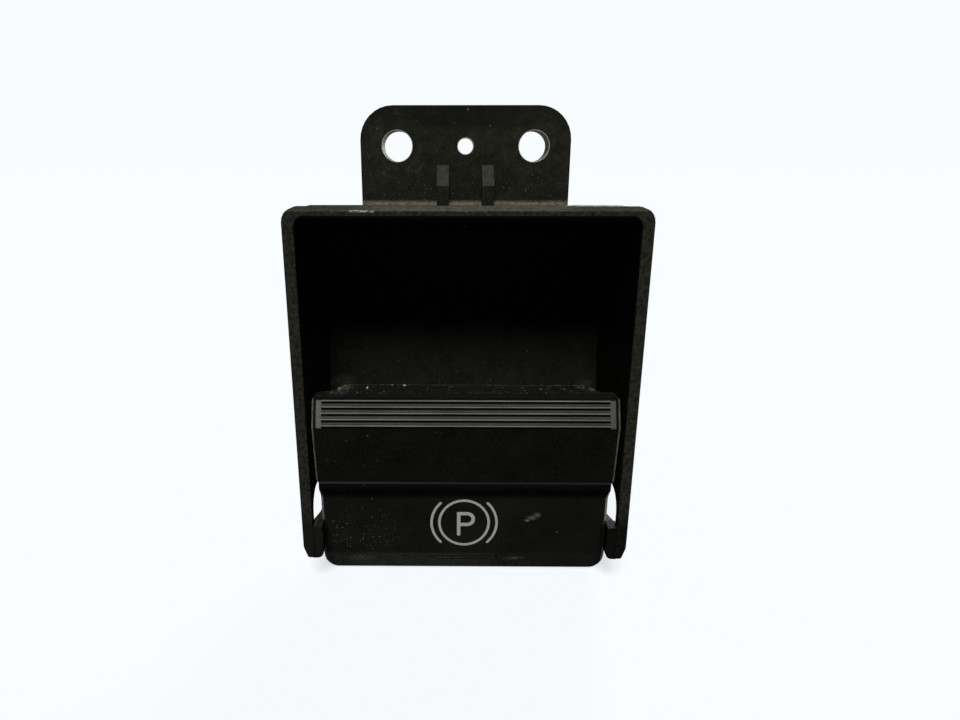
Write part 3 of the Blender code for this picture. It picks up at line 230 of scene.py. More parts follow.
    def bump(self, height, strength, distance):
        """Raise the surface a little by a height map."""
        node = self.nodes.new("ShaderNodeBump")
        node.inputs["Strength"].default_value = strength
        node.inputs["Distance"].default_value = distance * MM
        self.feed(height, node.inputs["Height"])
        self.feed(node.outputs["Normal"], self.shader.inputs["Normal"])


def shade(value):
    """Linear colour of an sRGB colour from 0 to 255."""
    return tuple(((v / 255 + 0.055) / 1.055) ** 2.4 if v > 10 else v / 255 / 12.92 for v in value)


DUST = shade((118, 113, 100))
# Pale dust, also used as the painted reflection on the hole walls.
PALE_DUST_AND_REFLECTION = shade((176, 170, 152))
POCKET_SIDE = 33.3 * MM             # from the middle to the pocket's side walls
BACK_WALL = 33.0                    # a depth inside the back wall, where the pocket's looks end
PLATE_DEPTH = 24.0                  # the mounting plate's front face
BOSS_END = 30.5
WASHER = 6.7                        # radius of the mark that a washer leaves
HOLE_OFFSET = 14.95                 # mm from the plate's middle to a fixing hole
HOLE_WALL = 3.42                    # mm, a little more than the fixing hole's radius
CENTRE_WALL = 1.82                  # the same for the middle hole
FACET_Y = -0.934                    # outward normal of the lever's ribbed facet
FACET_Z = 0.357
LIP_DROP = 37.2
LIP_Y = deep(2.9)                   # front edge of the lip
LIP_Z = down(LIP_DROP)
LIP_REAR = 8.9                      # depth of the lip's rear edge
RIB_FIRST = 1.70 * MM               # from the lip's front edge, down the facet
RIB_PITCH = 1.31 * MM
RIB_LEAD = 0.16 * MM                # where a rib's light crest starts, above its middle
FACET_END = 7.45 * MM
RIB_REACH = 30.15 * MM              # from the lever's middle to a rib's end
LEVER_SIDE = 32.3 * MM              # just outside the lever's side
FACE_END = 57.5                     # drop in mm of the face's lower edge
PANEL_START = 62.7                  # drop of the step's foot
PANEL_DEPTH = 5.6
BEVEL_START = 77.3
SLOT_DROP = 79.02                   # middle of the indicator slot
FLAT_SPECKS = (1.0, 0.28, 1.0)      # stretched in depth, because the view is so low


# Frame

def frame_finish():
    """Matt black moulded plastic with a mottled grain, handling dust and wear, painted shade in the pocket
    and at the feet, and painted light on what faces up and on the hole walls.
    """
    finish = Finish("frame_plastic", 0.62, 0.05)
    x, y, z = finish.axes(finish.place)
    up = finish.axes(finish.normal)[2]
    grain = finish.noise(0.45, 3.0, rough=0.65)
    patch = finish.noise(2.4, 4.0, rough=0.7)
    low = finish.ramp(z, down(62.0), down(68.0))
    base = frame_base(finish, x, y, z, low, grain, patch)
    plate = finish.product(finish.ramp(z, down(1.0), down(-1.0)),
                           finish.ramp(y, deep(PLATE_DEPTH + 2.6), deep(PLATE_DEPTH + 0.6)))
    # Dust and wear; the top film and the sill dust also carry painted light, from above and in through the
    # windows.
    dust = finish.most(
        top_dust_and_light(finish, x, up, low), rim_wear(finish, y, z), corner_dust(finish, y),
        sill_dust_and_light(finish, up, patch), finish.product(plate_foot(finish, x, y, z), 0.62),
        scattered(finish), finish.product(plate, washer_marks(finish, x, z, patch), 0.07),
        finish.product(plate, plate_grit(finish), finish.ramp(z, down(-4.0), down(-10.0), 0.75, 0.15)))
    # Pale tones: the hole walls are dust and a painted reflection, the rim line is dust.
    pale = finish.most(finish.product(hole_walls(finish, x, y, z, patch), 0.75),
                       bright_line(finish, x, y, z))
    finish.colour(finish.mix(pale, finish.mix(dust, base, DUST), PALE_DUST_AND_REFLECTION))
    finish.roughness(finish.ramp(grain, 0.3, 0.7, 0.52, 0.75))
    finish.bump(finish.math("ADD", finish.product(grain, 0.7), finish.product(patch, 0.3)), 0.4, 0.12)
    return finish.material


def frame_base(finish, x, y, z, low, grain, patch):
    """The plastic's tones: darker at the plate's top, with painted shade at the feet that deepens to the
    right, and painted shade inside the pocket, darkest towards its top.
    """
    cloud = finish.noise(9.0, 3.0)
    mottle = finish.math("ADD", finish.product(grain, 0.35), finish.product(patch, 0.40))
    mottle = finish.math("ADD", mottle, finish.product(cloud, 0.25))
    base = finish.mix(finish.ramp(mottle, 0.36, 0.64), shade((20, 21, 15)), shade((35, 36, 28)))
    rim_grain = finish.ramp(finish.noise(0.8, 3.0, rough=0.7), 0.36, 0.62)
    rim_tone = finish.mix(rim_grain, shade((17, 18, 14)), shade((44, 44, 37)))
    base = finish.mix(finish.product(finish.ramp(y, deep(0.6), deep(0.2)), 0.7), base, rim_tone)
    reach = finish.math("ABSOLUTE", x)
    high = finish.product(finish.ramp(z, down(-15.4), down(-17.2), 0.0, 0.60),
                          finish.ramp(reach, 15.0 * MM, 10.0 * MM, 0.5, 1.0))
    base = finish.mix(high, base, shade((12, 14, 8)))
    # Painted shade at the feet, deeper towards the right.
    across = finish.ramp(x, -30.0 * MM, 30.0 * MM)
    low_tone = finish.mix(across, shade((18, 18, 14)), shade((6, 6, 5)))
    base = finish.mix(finish.product(low, 0.9), base, low_tone)
    # Painted shade inside the pocket, darkest towards its top.
    inside = finish.product(
        finish.ramp(reach, POCKET_SIDE + 0.6 * MM, POCKET_SIDE), finish.ramp(y, deep(0.5), deep(1.4)),
        finish.ramp(y, deep(BACK_WALL + 0.8), deep(BACK_WALL)), finish.ramp(z, down(1.0), down(1.8)),
        finish.ramp(z, down(24.0), down(34.0), 0.95, 0.45))
    return finish.mix(inside, base, shade((3, 4, 3)))


def top_dust_and_light(finish, x, up, low):
    """Dust film and painted top light on what faces up, thickest in the middle and thin at the feet."""
    reach = finish.math("ABSOLUTE", x)
    return finish.product(
        finish.ramp(up, 0.40, 1.0),
        finish.ramp(finish.noise(0.9, 6.0, rough=0.8), 0.32, 0.68, 0.14, 0.50),
        finish.ramp(reach, 16.0 * MM, 24.0 * MM, 1.0, 0.5), finish.ramp(low, 0.0, 1.0, 1.0, 0.35))


def bright_line(finish, x, y, z):
    """Broken pale line on the left of the rim's front top edge."""
    flecks = finish.noise(0.7, 4.0, stretch=(0.5, 1.0, 1.0), rough=0.75)
    return finish.product(
        finish.band(y, deep(-0.2), deep(0.35), 0.12 * MM),
        finish.band(z, down(0.10), down(-0.50), 0.08 * MM),
        finish.band(x, -23.6 * MM, -17.4 * MM, 0.7 * MM),
        finish.ramp(flecks, 0.45, 0.60, 0.0, 0.75))


def rim_wear(finish, y, z):
    """Faint rubbed flecks all along the same edge."""
    flecks = finish.noise(0.8, 4.0, stretch=(0.35, 1.0, 1.0), rough=0.75)
    return finish.product(
        finish.band(y, deep(-0.2), deep(0.6), 0.15 * MM),
        finish.band(z, down(0.15), down(-0.60), 0.10 * MM),
        finish.ramp(flecks, 0.52, 0.70, 0.0, 0.42))


def plate_foot(finish, x, y, z):
    """Dust in the corner where the plate meets the top face."""
    flecks = finish.noise(0.6, 5.0, stretch=(0.7, 1.0, 1.0), rough=0.8)
    return finish.product(
        finish.band(z, down(0.4), down(-0.9), 0.3 * MM),
        finish.band(y, deep(PLATE_DEPTH - 1.4), deep(PLATE_DEPTH + 0.2), 0.4 * MM),
        finish.band(x, -23.4 * MM, 23.4 * MM, 0.5 * MM),
        finish.ramp(flecks, 0.34, 0.66, 0.25, 1.15))


def corner_dust(finish, y):
    """Dust in the pocket's lower rear corners, more on the left."""
    left = finish.spot((-30.0, 31.6, 43.4), (5.5, 4.0, 3.0), 0.0)
    right = finish.spot((30.5, 31.6, 43.8), (4.0, 4.0, 2.2), 0.0)
    flecks = finish.ramp(finish.noise(0.7, 5.0, rough=0.8), 0.36, 0.66, 0.1, 0.8)
    return finish.product(finish.most(left, finish.product(right, 0.7)), flecks,
                          finish.ramp(y, deep(BACK_WALL + 0.6), deep(BACK_WALL)))


def sill_dust_and_light(finish, up, patch):
    """Dust and painted light on the sills of the side windows, where light falls in through them."""
    left = finish.spot((-34.3, 10.0, 68.8), (2.8, 13.0, 3.6), 0.6)
    right = finish.spot((33.6, 6.5, 69.0), (2.2, 7.0, 3.0), 0.2)
    return finish.product(finish.most(left, finish.product(right, 0.4)),
                          finish.ramp(up, 0.15, 0.45), finish.ramp(patch, 0.35, 0.6, 0.45, 0.85))


def scattered(finish):
    """Fine, middling and coarse specks over the whole frame."""
    fine = finish.product(finish.specks(0.55, 0.10, 0.18), 0.45)
    middling = finish.product(finish.specks(1.3, 0.12, 0.22), 0.6)
    coarse = finish.product(finish.specks(3.1, 0.17, 0.30), 0.8)
    return finish.product(finish.most(fine, middling, coarse),
                          finish.ramp(finish.noise(5.0, 3.0), 0.35, 0.7, 0.25, 1.0))


def plate_grit(finish):
    """Closer specks for the mounting plate."""
    return finish.most(finish.product(finish.specks(0.7, 0.10, 0.35), 0.7),
                       finish.specks(1.9, 0.12, 0.30))


def hole_distance(finish, x, z, centre):
    """Distance from the axis of a hole in the mounting plate."""
    across = finish.math("SUBTRACT", x, centre * MM)
    return finish.math("SQRT", finish.math("ADD", finish.product(across, across), finish.product(z, z)))


def washer_marks(finish, x, z, patch):
    """Faint broken rings that washers leave round the fixing holes."""
    rings = []
    for centre in (-HOLE_OFFSET, HOLE_OFFSET):
        away = hole_distance(finish, x, z, centre)
        rings.append(finish.band(away, (WASHER - 0.15) * MM, (WASHER + 0.15) * MM, 0.22 * MM))
        rubbed = finish.band(away, (WASHER - 2.8) * MM, (WASHER - 0.4) * MM, 0.4 * MM)
        rings.append(finish.product(rubbed, 0.35))
    return finish.product(finish.most(*rings), finish.ramp(patch, 0.42, 0.62, 0.1, 1.0))


def hole_walls(finish, x, y, z, patch):
    """Walls of the three holes in the mounting plate, made pale by dust and a painted reflection."""
    soft = 0.03
    walls = []
    for centre, radius in ((-HOLE_OFFSET, HOLE_WALL), (HOLE_OFFSET, HOLE_WALL), (0.0, CENTRE_WALL)):
        away = hole_distance(finish, x, z, centre)
        walls.append(finish.ramp(away, (radius + soft) * MM, (radius - soft) * MM))
    return finish.product(finish.most(*walls), finish.ramp(patch, 0.35, 0.6, 0.55, 1.0),
                          finish.band(y, deep(PLATE_DEPTH - 0.4), deep(BOSS_END + 0.5), 0.1 * MM))


# Lever

def lever_finish():
    """Smoother black plastic of the lever, with painted highlights and shade on worn grip ribs, painted
    shade and reflection on its lower parts, and light dust.
    """
    finish = Finish("lever_plastic", 0.42, 0.02)
    x, y, z = finish.axes(finish.place)
    back, up = finish.axes(finish.normal)[1:]
    grain = finish.noise(0.35, 2.0, rough=0.6)
    cloud = finish.noise(7.0, 3.0)
    mottle = finish.math("ADD", finish.product(grain, 0.7), finish.product(cloud, 0.3))
    tone = finish.ramp(mottle, 0.36, 0.64)
    lip_top = finish.product(finish.ramp(up, 0.75, 0.95),
                             finish.ramp(z, down(LIP_DROP + 1.3), down(LIP_DROP + 0.4)))
    base = lever_base(finish, x, z, tone, lip_top)
    base = grip_tones(finish, x, y, z, base)
    base = edge_lines(finish, x, y, z, back, base)
    side = finish.ramp(x, 10.0 * MM, -26.0 * MM, 0.18, 0.75)
    dust = finish.most(
        finish.product(lever_specks(finish), side), finish.product(rear_line(finish, y, z), 0.7),
        lip_end_dust(finish), lip_top_dust(finish, x, lip_top), panel_specks(finish),
        bevel_smudges(finish), scuff_mark(finish))
    finish.colour(finish.mix(lip_flakes(finish), finish.mix(dust, base, DUST), PALE_DUST_AND_REFLECTION))
    finish.roughness(finish.ramp(cloud, 0.3, 0.7, 0.46, 0.60))
    finish.bump(grain, 0.18, 0.05)
    return finish.material


def lever_base(finish, x, z, tone, lip_top):
    """Tones of the face, step, panel, bevel and lip, from top to bottom, with painted shade in the step's
    hollow, above the ribs and on the right of the panel and bevel, and a painted reflection that lightens
    the bevel.
    """
    face = finish.mix(tone, shade((8, 9, 7)), shade((20, 20, 17)))
    panel = finish.mix(tone, shade((12, 12, 10)), shade((24, 24, 20)))
    # Painted shade, deeper towards the panel's right.
    panel = finish.mix(finish.ramp(x, 2.0 * MM, 24.0 * MM, 0.0, 0.3), panel, shade((10, 10, 8)))
    # The step runs from lighter under the face's edge to painted shade in its hollow.
    hollow = finish.ramp(z, down(FACE_END + 0.1), down(PANEL_START - 1.5))
    step = finish.mix(hollow, shade((23, 25, 23)), shade((6, 6, 6)))
    step = finish.mix(finish.product(tone, 0.3), step, face)
    # The bevel is lighter as a painted reflection of the pale floor.
    bevel = finish.mix(tone, shade((24, 25, 22)), shade((48, 49, 44)))
    base = finish.mix(finish.ramp(z, down(FACE_END - 0.3), down(FACE_END + 0.3)), face, step)
    base = finish.mix(finish.ramp(z, down(PANEL_START - 0.9), down(PANEL_START + 0.9)), base, panel)
    base = finish.mix(finish.ramp(z, down(BEVEL_START - 0.3), down(BEVEL_START + 0.3)), base, bevel)
    # Painted shade on the band above the first rib.
    above_ribs = finish.product(finish.ramp(z, down(LIP_DROP + 1.5), down(LIP_DROP + 1.1)), 0.5)
    base = finish.mix(above_ribs, base, shade((6, 6, 5)))
    lip = finish.mix(tone, shade((11, 13, 11)), shade((24, 26, 23)))
    base = finish.mix(lip_top, base, lip)
    # Painted shade: the bevel takes the darker panel tone towards the right.
    right = finish.ramp(x, -6.0 * MM, 22.0 * MM)
    below = finish.ramp(z, down(BEVEL_START - 0.4), down(BEVEL_START + 0.2))
    return finish.mix(finish.product(below, right, 0.7), base, panel)


def grip_tones(finish, x, y, z, base):
    """Ribs in painted light: a painted highlight on each crest, painted shade in the line under it, a
    valley of lint and painted light, painted shade in a dip before the next, and painted glints on the
    smooth strips at the ribs' ends.
    """
    behind = finish.math("SUBTRACT", y, LIP_Y)
    above = finish.math("SUBTRACT", z, LIP_Z)
    height = finish.math("ADD", finish.product(behind, FACET_Y), finish.product(above, FACET_Z))
    run = finish.math("ADD", finish.product(behind, -FACET_Z), finish.product(above, FACET_Y))
    facet = finish.product(finish.ramp(height, -0.30 * MM, -0.12 * MM),
                           finish.band(run, RIB_FIRST - RIB_LEAD, FACET_END, 0.04 * MM))
    phase = finish.math("SUBTRACT", run, RIB_FIRST - RIB_LEAD)
    phase = finish.math("FRACT", finish.math("DIVIDE", phase, RIB_PITCH))
    patches = finish.noise(2.6, 3.0, stretch=(0.22, 1.0, 1.0))
    patches = finish.ramp(patches, 0.25, 0.75, 0.0, 1.0)
    lint = finish.ramp(finish.noise(0.5, 3.0, rough=0.7), 0.35, 0.7)
    # Valley: lint over a tone lightened as painted light.
    valley = finish.mix(patches, shade((48, 48, 43)), shade((64, 64, 58)))
    valley = finish.mix(finish.product(lint, 0.4), valley, shade((82, 79, 70)))
    # Painted shade in the dip before the next rib.
    dip = finish.mix(patches, shade((30, 30, 28)), shade((44, 44, 41)))
    # Painted highlight on each crest.
    crest = finish.mix(patches, shade((84, 85, 84)), shade((106, 107, 106)))
    # Painted shade in the dark line under each crest.
    ribbed = finish.mix(finish.ramp(phase, 0.52, 0.68), shade((7, 6, 5)), valley)
    ribbed = finish.mix(finish.ramp(phase, 0.84, 0.91), ribbed, dip)
    ribbed = finish.mix(finish.ramp(phase, 0.23, 0.17), ribbed, crest)
    reach = finish.math("ABSOLUTE", x)
    # Painted glints on the smooth strips at the ribs' ends.
    strip = finish.mix(finish.ramp(x, -1.0 * MM, 1.0 * MM), shade((92, 93, 90)), shade((74, 75, 72)))
    dull = finish.ramp(finish.noise(0.9, 3.0), 0.35, 0.7, 0.0, 0.35)
    strip = finish.mix(dull, strip, shade((52, 53, 50)))
    facet_wear_and_light = finish.mix(finish.ramp(reach, RIB_REACH, RIB_REACH + 0.15 * MM), ribbed, strip)
    # Darker past the strips, towards the lever's sides.
    beyond = finish.ramp(reach, LEVER_SIDE - 1.1 * MM, LEVER_SIDE - 0.85 * MM)
    facet_wear_and_light = finish.mix(beyond, facet_wear_and_light, shade((14, 14, 13)))
    return finish.mix(facet, base, facet_wear_and_light)


def edge_lines(finish, x, y, z, back, base):
    """Light lines where the lever's rounded edges catch the light."""
    reach = finish.math("ABSOLUTE", x)
    rounded = finish.product(
        finish.band(reach, LEVER_SIDE - 0.38 * MM, LEVER_SIDE, 0.05 * MM),
        finish.ramp(back, -0.10, -0.45),
        finish.ramp(finish.noise(1.5, 2.0), 0.3, 0.6, 0.5, 1.0), 0.55)
    base = finish.mix(rounded, base, shade((112, 113, 108)))
    face_edge = finish.product(
        finish.band(z, down(FACE_END + 0.45), down(FACE_END - 0.15), 0.1 * MM),
        finish.ramp(y, deep(4.2), deep(3.2)),
        finish.ramp(x, -34.0 * MM, 10.0 * MM, 0.5, 0.25))
    base = finish.mix(face_edge, base, shade((64, 66, 63)))
    panel_edge = finish.product(
        finish.band(reach, LEVER_SIDE - 0.56 * MM, LEVER_SIDE, 0.06 * MM),
        finish.ramp(back, -0.05, -0.3),
        finish.ramp(z, down(PANEL_START - 1.2), down(PANEL_START + 0.8)), 0.75)
    across = finish.ramp(x, -1.0 * MM, 1.0 * MM)
    tone = finish.mix(across, shade((98, 101, 99)), shade((124, 118, 104)))
    return finish.mix(panel_edge, base, tone)


def rear_line(finish, y, z):
    """Broken line of dust along the lip's rear edge."""
    flecks = finish.noise(0.5, 3.0, stretch=(1.0, 0.3, 1.0), rough=0.7)
    gaps = finish.noise(3.5, 2.0, stretch=(1.0, 0.2, 0.2))
    return finish.product(
        finish.band(y, deep(LIP_REAR - 0.9), deep(LIP_REAR + 0.3), 0.35 * MM),
        finish.ramp(z, down(LIP_DROP + 1.0), down(LIP_DROP + 0.3)),
        finish.ramp(flecks, 0.42, 0.58), finish.ramp(gaps, 0.35, 0.6, 0.3, 1.0))


def lip_end_dust(finish):
    """Clusters of dust on the chamfers at both ends of the lip."""
    left = finish.spot((-27.2, 6.8, 37.4), (4.4, 5.0, 1.8), 0.2)
    right = finish.spot((27.0, 7.2, 37.4), (4.0, 4.0, 1.6), 0.2)
    felt = finish.ramp(finish.noise(0.8, 4.0, stretch=FLAT_SPECKS, rough=0.7), 0.42, 0.66, 0.0, 0.7)
    crumbs = finish.most(finish.specks(0.6, 0.16, 0.6, stretch=FLAT_SPECKS),
                         finish.specks(1.4, 0.24, 0.5, stretch=FLAT_SPECKS), felt)
    return finish.product(finish.most(left, right), crumbs, 0.75)


def lip_top_dust(finish, x, lip_top):
    """Specks and lint strewn over the lip's top, more on the left."""
    lint = finish.noise(0.35, 3.0, stretch=(1.0, 0.4, 1.0), rough=0.8)
    strewn = finish.most(finish.specks(0.6, 0.12, 0.4, stretch=FLAT_SPECKS),
                         finish.specks(1.7, 0.18, 0.45, stretch=FLAT_SPECKS),
                         finish.ramp(lint, 0.56, 0.70, 0.0, 0.45))
    return finish.product(lip_top, strewn, finish.ramp(x, 20.0 * MM, -24.0 * MM, 0.5, 0.95))


def lip_flakes(finish):
    """Three pale flakes near the lip's rear edge."""
    return finish.most(
        finish.spot((-13.1, 8.3, LIP_DROP), (0.38, 1.2, 0.6)),
        finish.spot((-15.8, 8.4, LIP_DROP), (0.22, 0.8, 0.5)),
        finish.spot((-21.0, 6.2, LIP_DROP), (0.22, 0.9, 0.5)))


def lever_specks(finish):
    """Specks of three sizes over the whole lever."""
    return finish.most(finish.product(finish.specks(0.9, 0.11, 0.18), 0.6),
                       finish.specks(2.6, 0.14, 0.28), finish.specks(5.5, 0.17, 0.40))


def panel_specks(finish):
    """Close specks on the left of the lower panel."""
    place = finish.spot((-24.0, PANEL_DEPTH, 71.5), (13.0, 3.0, 8.5), 0.2)
    return finish.product(place, finish.specks(0.75, 0.11, 0.5), 0.6)


def bevel_smudges(finish):
    """Two faint smudges on the lower bevel."""
    right = finish.spot((11.6, 6.5, 78.9), (3.2, 2.0, 1.0), 0.0)
    left = finish.spot((-24.0, 6.5, 79.0), (4.5, 2.0, 1.3), 0.0)
    return finish.product(finish.most(right, left),
                          finish.ramp(finish.noise(0.5, 4.0, rough=0.8), 0.40, 0.64, 0.0, 0.5))


def scuff_mark(finish):
    """A slanting scuff beside the symbol, brightest at its lower left, and a tiny mark."""
    end = finish.spot((14.3, PANEL_DEPTH, 68.75), (0.80, 0.8, 0.42), 0.1)
    middle = finish.spot((15.4, PANEL_DEPTH, 68.1), (1.60, 0.8, 0.80), 0.0)
    tail = finish.spot((16.5, PANEL_DEPTH, 67.4), (1.30, 0.8, 0.95), 0.0)
    mark = finish.spot((21.2, PANEL_DEPTH, 71.7), (0.45, 0.8, 0.22))
    scuff = finish.most(end, finish.product(middle, 0.60), finish.product(tail, 0.52),
                        finish.product(mark, 0.25))
    streaks = finish.noise(0.35, 3.0, rough=0.75)
    return finish.product(scuff, finish.ramp(streaks, 0.34, 0.62, 0.30, 0.85))


# Inner pieces, window and print

def moulded(name, dark, light, roughness=0.55, specular=0.2, grain=0.5):
    """Plain moulded plastic with a fine grain and slight clouds."""
    finish = Finish(name, roughness, specular)
    fine = finish.noise(grain, 3.0, rough=0.6)
    cloud = finish.noise(8.0, 2.0)
    tone = finish.ramp(finish.math("ADD", finish.product(fine, 0.6), finish.product(cloud, 0.4)), 0.3, 0.7)
    dust = finish.product(finish.specks(1.8, 0.12, 0.25), 0.5)
    finish.colour(finish.mix(dust, finish.mix(tone, shade(dark), shade(light)), DUST))
    finish.roughness(finish.ramp(fine, 0.3, 0.7, roughness - 0.06, roughness + 0.1))
    finish.bump(fine, 0.25, 0.08)
    return finish.material


def metal(name, dark, light, roughness, stretch):
    """Drawn or turned metal with fine lines along one axis and dull patches."""
    finish = Finish(name, roughness, 0.5, 1.0)
    lines = finish.noise(0.25, 3.0, stretch=stretch)
    cloud = finish.noise(2.5, 3.0)
    finish.colour(finish.mix(finish.ramp(cloud, 0.3, 0.7), shade(dark), shade(light)))
    finish.roughness(finish.ramp(lines, 0.3, 0.7, roughness - 0.06, roughness + 0.12))
    finish.bump(lines, 0.2, 0.02)
    return finish.material


def clear(name, tint, roughness):
    """See-through plastic with faint flow marks."""
    finish = Finish(name, roughness, 0.5)
    flow = finish.noise(3.0, 2.0)
    finish.colour(finish.mix(flow, shade(tint), shade(tuple(v * 0.93 for v in tint))))
    finish.shader.inputs["Transmission Weight"].default_value = 0.9
    finish.shader.inputs["IOR"].default_value = 1.49
    finish.bump(flow, 0.05, 0.05)
    return finish.material


def board_finish():
    """Green solder resist over faint copper tracks."""
    finish = Finish("board_green", 0.35, 0.5)
    z = finish.axes(finish.place)[2]
    bend = finish.product(finish.noise(6.0, 0.0), 2.0 * MM)
    tracks = finish.math("PINGPONG", finish.math("ADD", z, bend), 0.9 * MM)
    track = finish.ramp(tracks, 0.40 * MM, 0.50 * MM)
    weave = finish.noise(0.3, 2.0)
    base = finish.mix(track, shade((22, 78, 44)), shade((30, 98, 54)))
    finish.colour(finish.mix(finish.product(weave, 0.3), base, shade((16, 60, 34))))
    finish.bump(finish.math("ADD", track, finish.product(weave, 0.2)), 0.3, 0.03)
    return finish.material


def lens_finish():
    """Smoked window with faint flakes and a paler broken line along its middle, stronger on the left."""
    finish = Finish("smoked_lens", 0.3, 0.3)
    x, _, z = finish.axes(finish.place)
    flakes = finish.most(finish.specks(0.8, 0.14, 0.5), finish.specks(1.9, 0.25, 0.35))
    line = finish.product(finish.band(z, down(SLOT_DROP + 0.1), down(SLOT_DROP - 0.1), 0.07 * MM),
                          finish.ramp(finish.noise(1.1, 3.0), 0.40, 0.60, 0.05, 1.0),
                          finish.ramp(x, -2.0 * MM, 4.0 * MM, 1.0, 0.35))
    base = finish.mix(finish.noise(2.0, 2.0), shade((4, 4, 5)), shade((9, 9, 10)))
    dust = finish.most(finish.product(flakes, 0.12), finish.product(line, 0.22))
    finish.colour(finish.mix(dust, base, DUST))
    finish.bump(flakes, 0.1, 0.03)
    return finish.material


def print_finish():
    """Light grey printing ink."""
    finish = Finish("symbol_print", 0.55, 0.2)
    grain = finish.noise(0.3, 2.0)
    finish.colour(finish.mix(grain, shade((140, 142, 137)), shade((156, 158, 152))))
    finish.bump(grain, 0.1, 0.02)
    return finish.material


def dress_nodes():
    """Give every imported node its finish, by the record's material slots."""
    finishes = {
        "frame_plastic": frame_finish(),
        "lever_plastic": lever_finish(),
        "carrier_plastic": moulded("carrier_plastic", (50, 50, 47), (62, 62, 59)),
        "housing_plastic": moulded("housing_plastic", (44, 44, 46), (56, 56, 58)),
        "cover_plastic": moulded("cover_plastic", (40, 40, 42), (51, 51, 53)),
        "slider_plastic": moulded("slider_plastic", (206, 202, 190), (222, 218, 206), 0.45, 0.4),
        "rubber": moulded("rubber", (26, 26, 26), (36, 36, 35), 0.8, 0.2, 0.3),
        "component_black": moulded("component_black", (26, 26, 27), (36, 36, 37), 0.5, 0.3, 0.2),
        "led_white": moulded("led_white", (226, 222, 196), (240, 236, 212), 0.3, 0.5, 0.3),
        "smoked_lens": lens_finish(),
        "clear_plastic": clear("clear_plastic", (232, 236, 238), 0.12),
        "board_green": board_finish(),
        "copper": metal("copper", (184, 112, 76), (214, 140, 98), 0.3, (0.2, 1.0, 1.0)),
        "tinned_brass": metal("tinned_brass", (186, 180, 158), (214, 208, 188), 0.3, (1.0, 0.15, 1.0)),
        "axle_steel": metal("axle_steel", (150, 150, 150), (190, 190, 190), 0.3, (0.15, 1.0, 1.0)),
        "screw_steel": metal("screw_steel", (128, 130, 132), (172, 174, 176), 0.36, (1.0, 1.0, 1.0)),
        "spring_steel": metal("spring_steel", (120, 120, 122), (160, 160, 162), 0.32, (1.0, 1.0, 0.4)),
    }
    slots = {part["node"]: part["material_slot"] for part in frame["record"]["subparts"]}
    for name, piece in frame["nodes"].items():
        for slot in piece.material_slots:
            slot.material = finishes[slots[name]]


# Printed symbol

SYMBOL_DROP = 69.4
RING_RADIUS = 5.60                  # mm, like all sizes of the symbol
RING_WIDTH = 0.57
ARC_RADIUS = 6.95
ARC_WIDTH = 0.56
ARC_SHIFT = 0.44                    # an arc's centre from the ring's
ARC_RISE = 4.95                     # an arc's end above and below its middle
INK_THICKNESS = 0.05
INK_SUNK = 0.02                     # of it, below the panel's face
CAP_STEPS = 8
MITRE_LIMIT = 0.35


def cap(shape, centre, first, last):
    """Close a band's end with a half disc, from one corner round to the other."""
    spoke = Vector((first.co.x - centre.x, first.co.z - centre.y))
    rim = [first]
    for step in range(1, CAP_STEPS):
        turn = Matrix.Rotation(-math.pi * step / CAP_STEPS, 2)
        point = centre + turn @ spoke
        rim.append(shape.verts.new((point.x, 0.0, point.y)))
    shape.faces.new(rim + [last])


def ribbon(shape, path, width, round_start=True, round_end=True, closed=False):
    """Add a flat band along a path on the XZ plane, mitred at its corners."""
    points = [Vector(point) for point in path]
    count = len(points)
    left, right = [], []
    for index, point in enumerate(points):
        ways = []
        if index or closed:
            ways.append((point - points[index - 1]).normalized())
        if index < count - 1 or closed:
            ways.append((points[(index + 1) % count] - point).normalized())
        along = sum(ways, Vector((0.0, 0.0))).normalized()
        across = Vector((-along.y, along.x))
        reach = width / 2 / max(MITRE_LIMIT, across.dot(Vector((-ways[0].y, ways[0].x))))
        for side, sign in ((left, 1), (right, -1)):
            corner = point + across * reach * sign
            side.append(shape.verts.new((corner.x, 0.0, corner.y)))
    for index in range(count if closed else count - 1):
        following = (index + 1) % count
        shape.faces.new((left[index], left[following], right[following], right[index]))
    if round_end and not closed:
        cap(shape, points[-1], left[-1], right[-1])
    if round_start and not closed:
        cap(shape, points[0], right[0], left[0])


def printed(name, draw, finish):
    """One printed mark, a hair above the lower panel, that rides on the lever."""
    shape = bmesh.new()
    draw(shape)
    bmesh.ops.recalc_face_normals(shape, faces=shape.faces)
    result = bmesh.ops.extrude_face_region(shape, geom=shape.faces[:])
    moved = [item for item in result["geom"] if isinstance(item, bmesh.types.BMVert)]
    bmesh.ops.translate(shape, vec=(0.0, -INK_THICKNESS * MM, 0.0), verts=moved)
    place = (0.0, deep(PANEL_DEPTH + INK_SUNK), down(SYMBOL_DROP))
    bmesh.ops.translate(shape, vec=place, verts=shape.verts)
    bmesh.ops.recalc_face_normals(shape, faces=shape.faces)
    mesh = bpy.data.meshes.new(name)
    shape.to_mesh(mesh)
    shape.free()
    piece = bpy.data.objects.new(name, mesh)
    mesh.materials.append(finish)
    bpy.context.scene.collection.objects.link(piece)
    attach(piece, "lever")
    return piece


def circle(centre, radius, start, end, steps):
    """Points on an arc in mm, with angles in degrees."""
    points = []
    for step in range(steps + 1):
        angle = math.radians(start + (end - start) * step / steps)
        points.append((centre[0] * MM + radius * MM * math.cos(angle),
                       centre[1] * MM + radius * MM * math.sin(angle)))
    return points


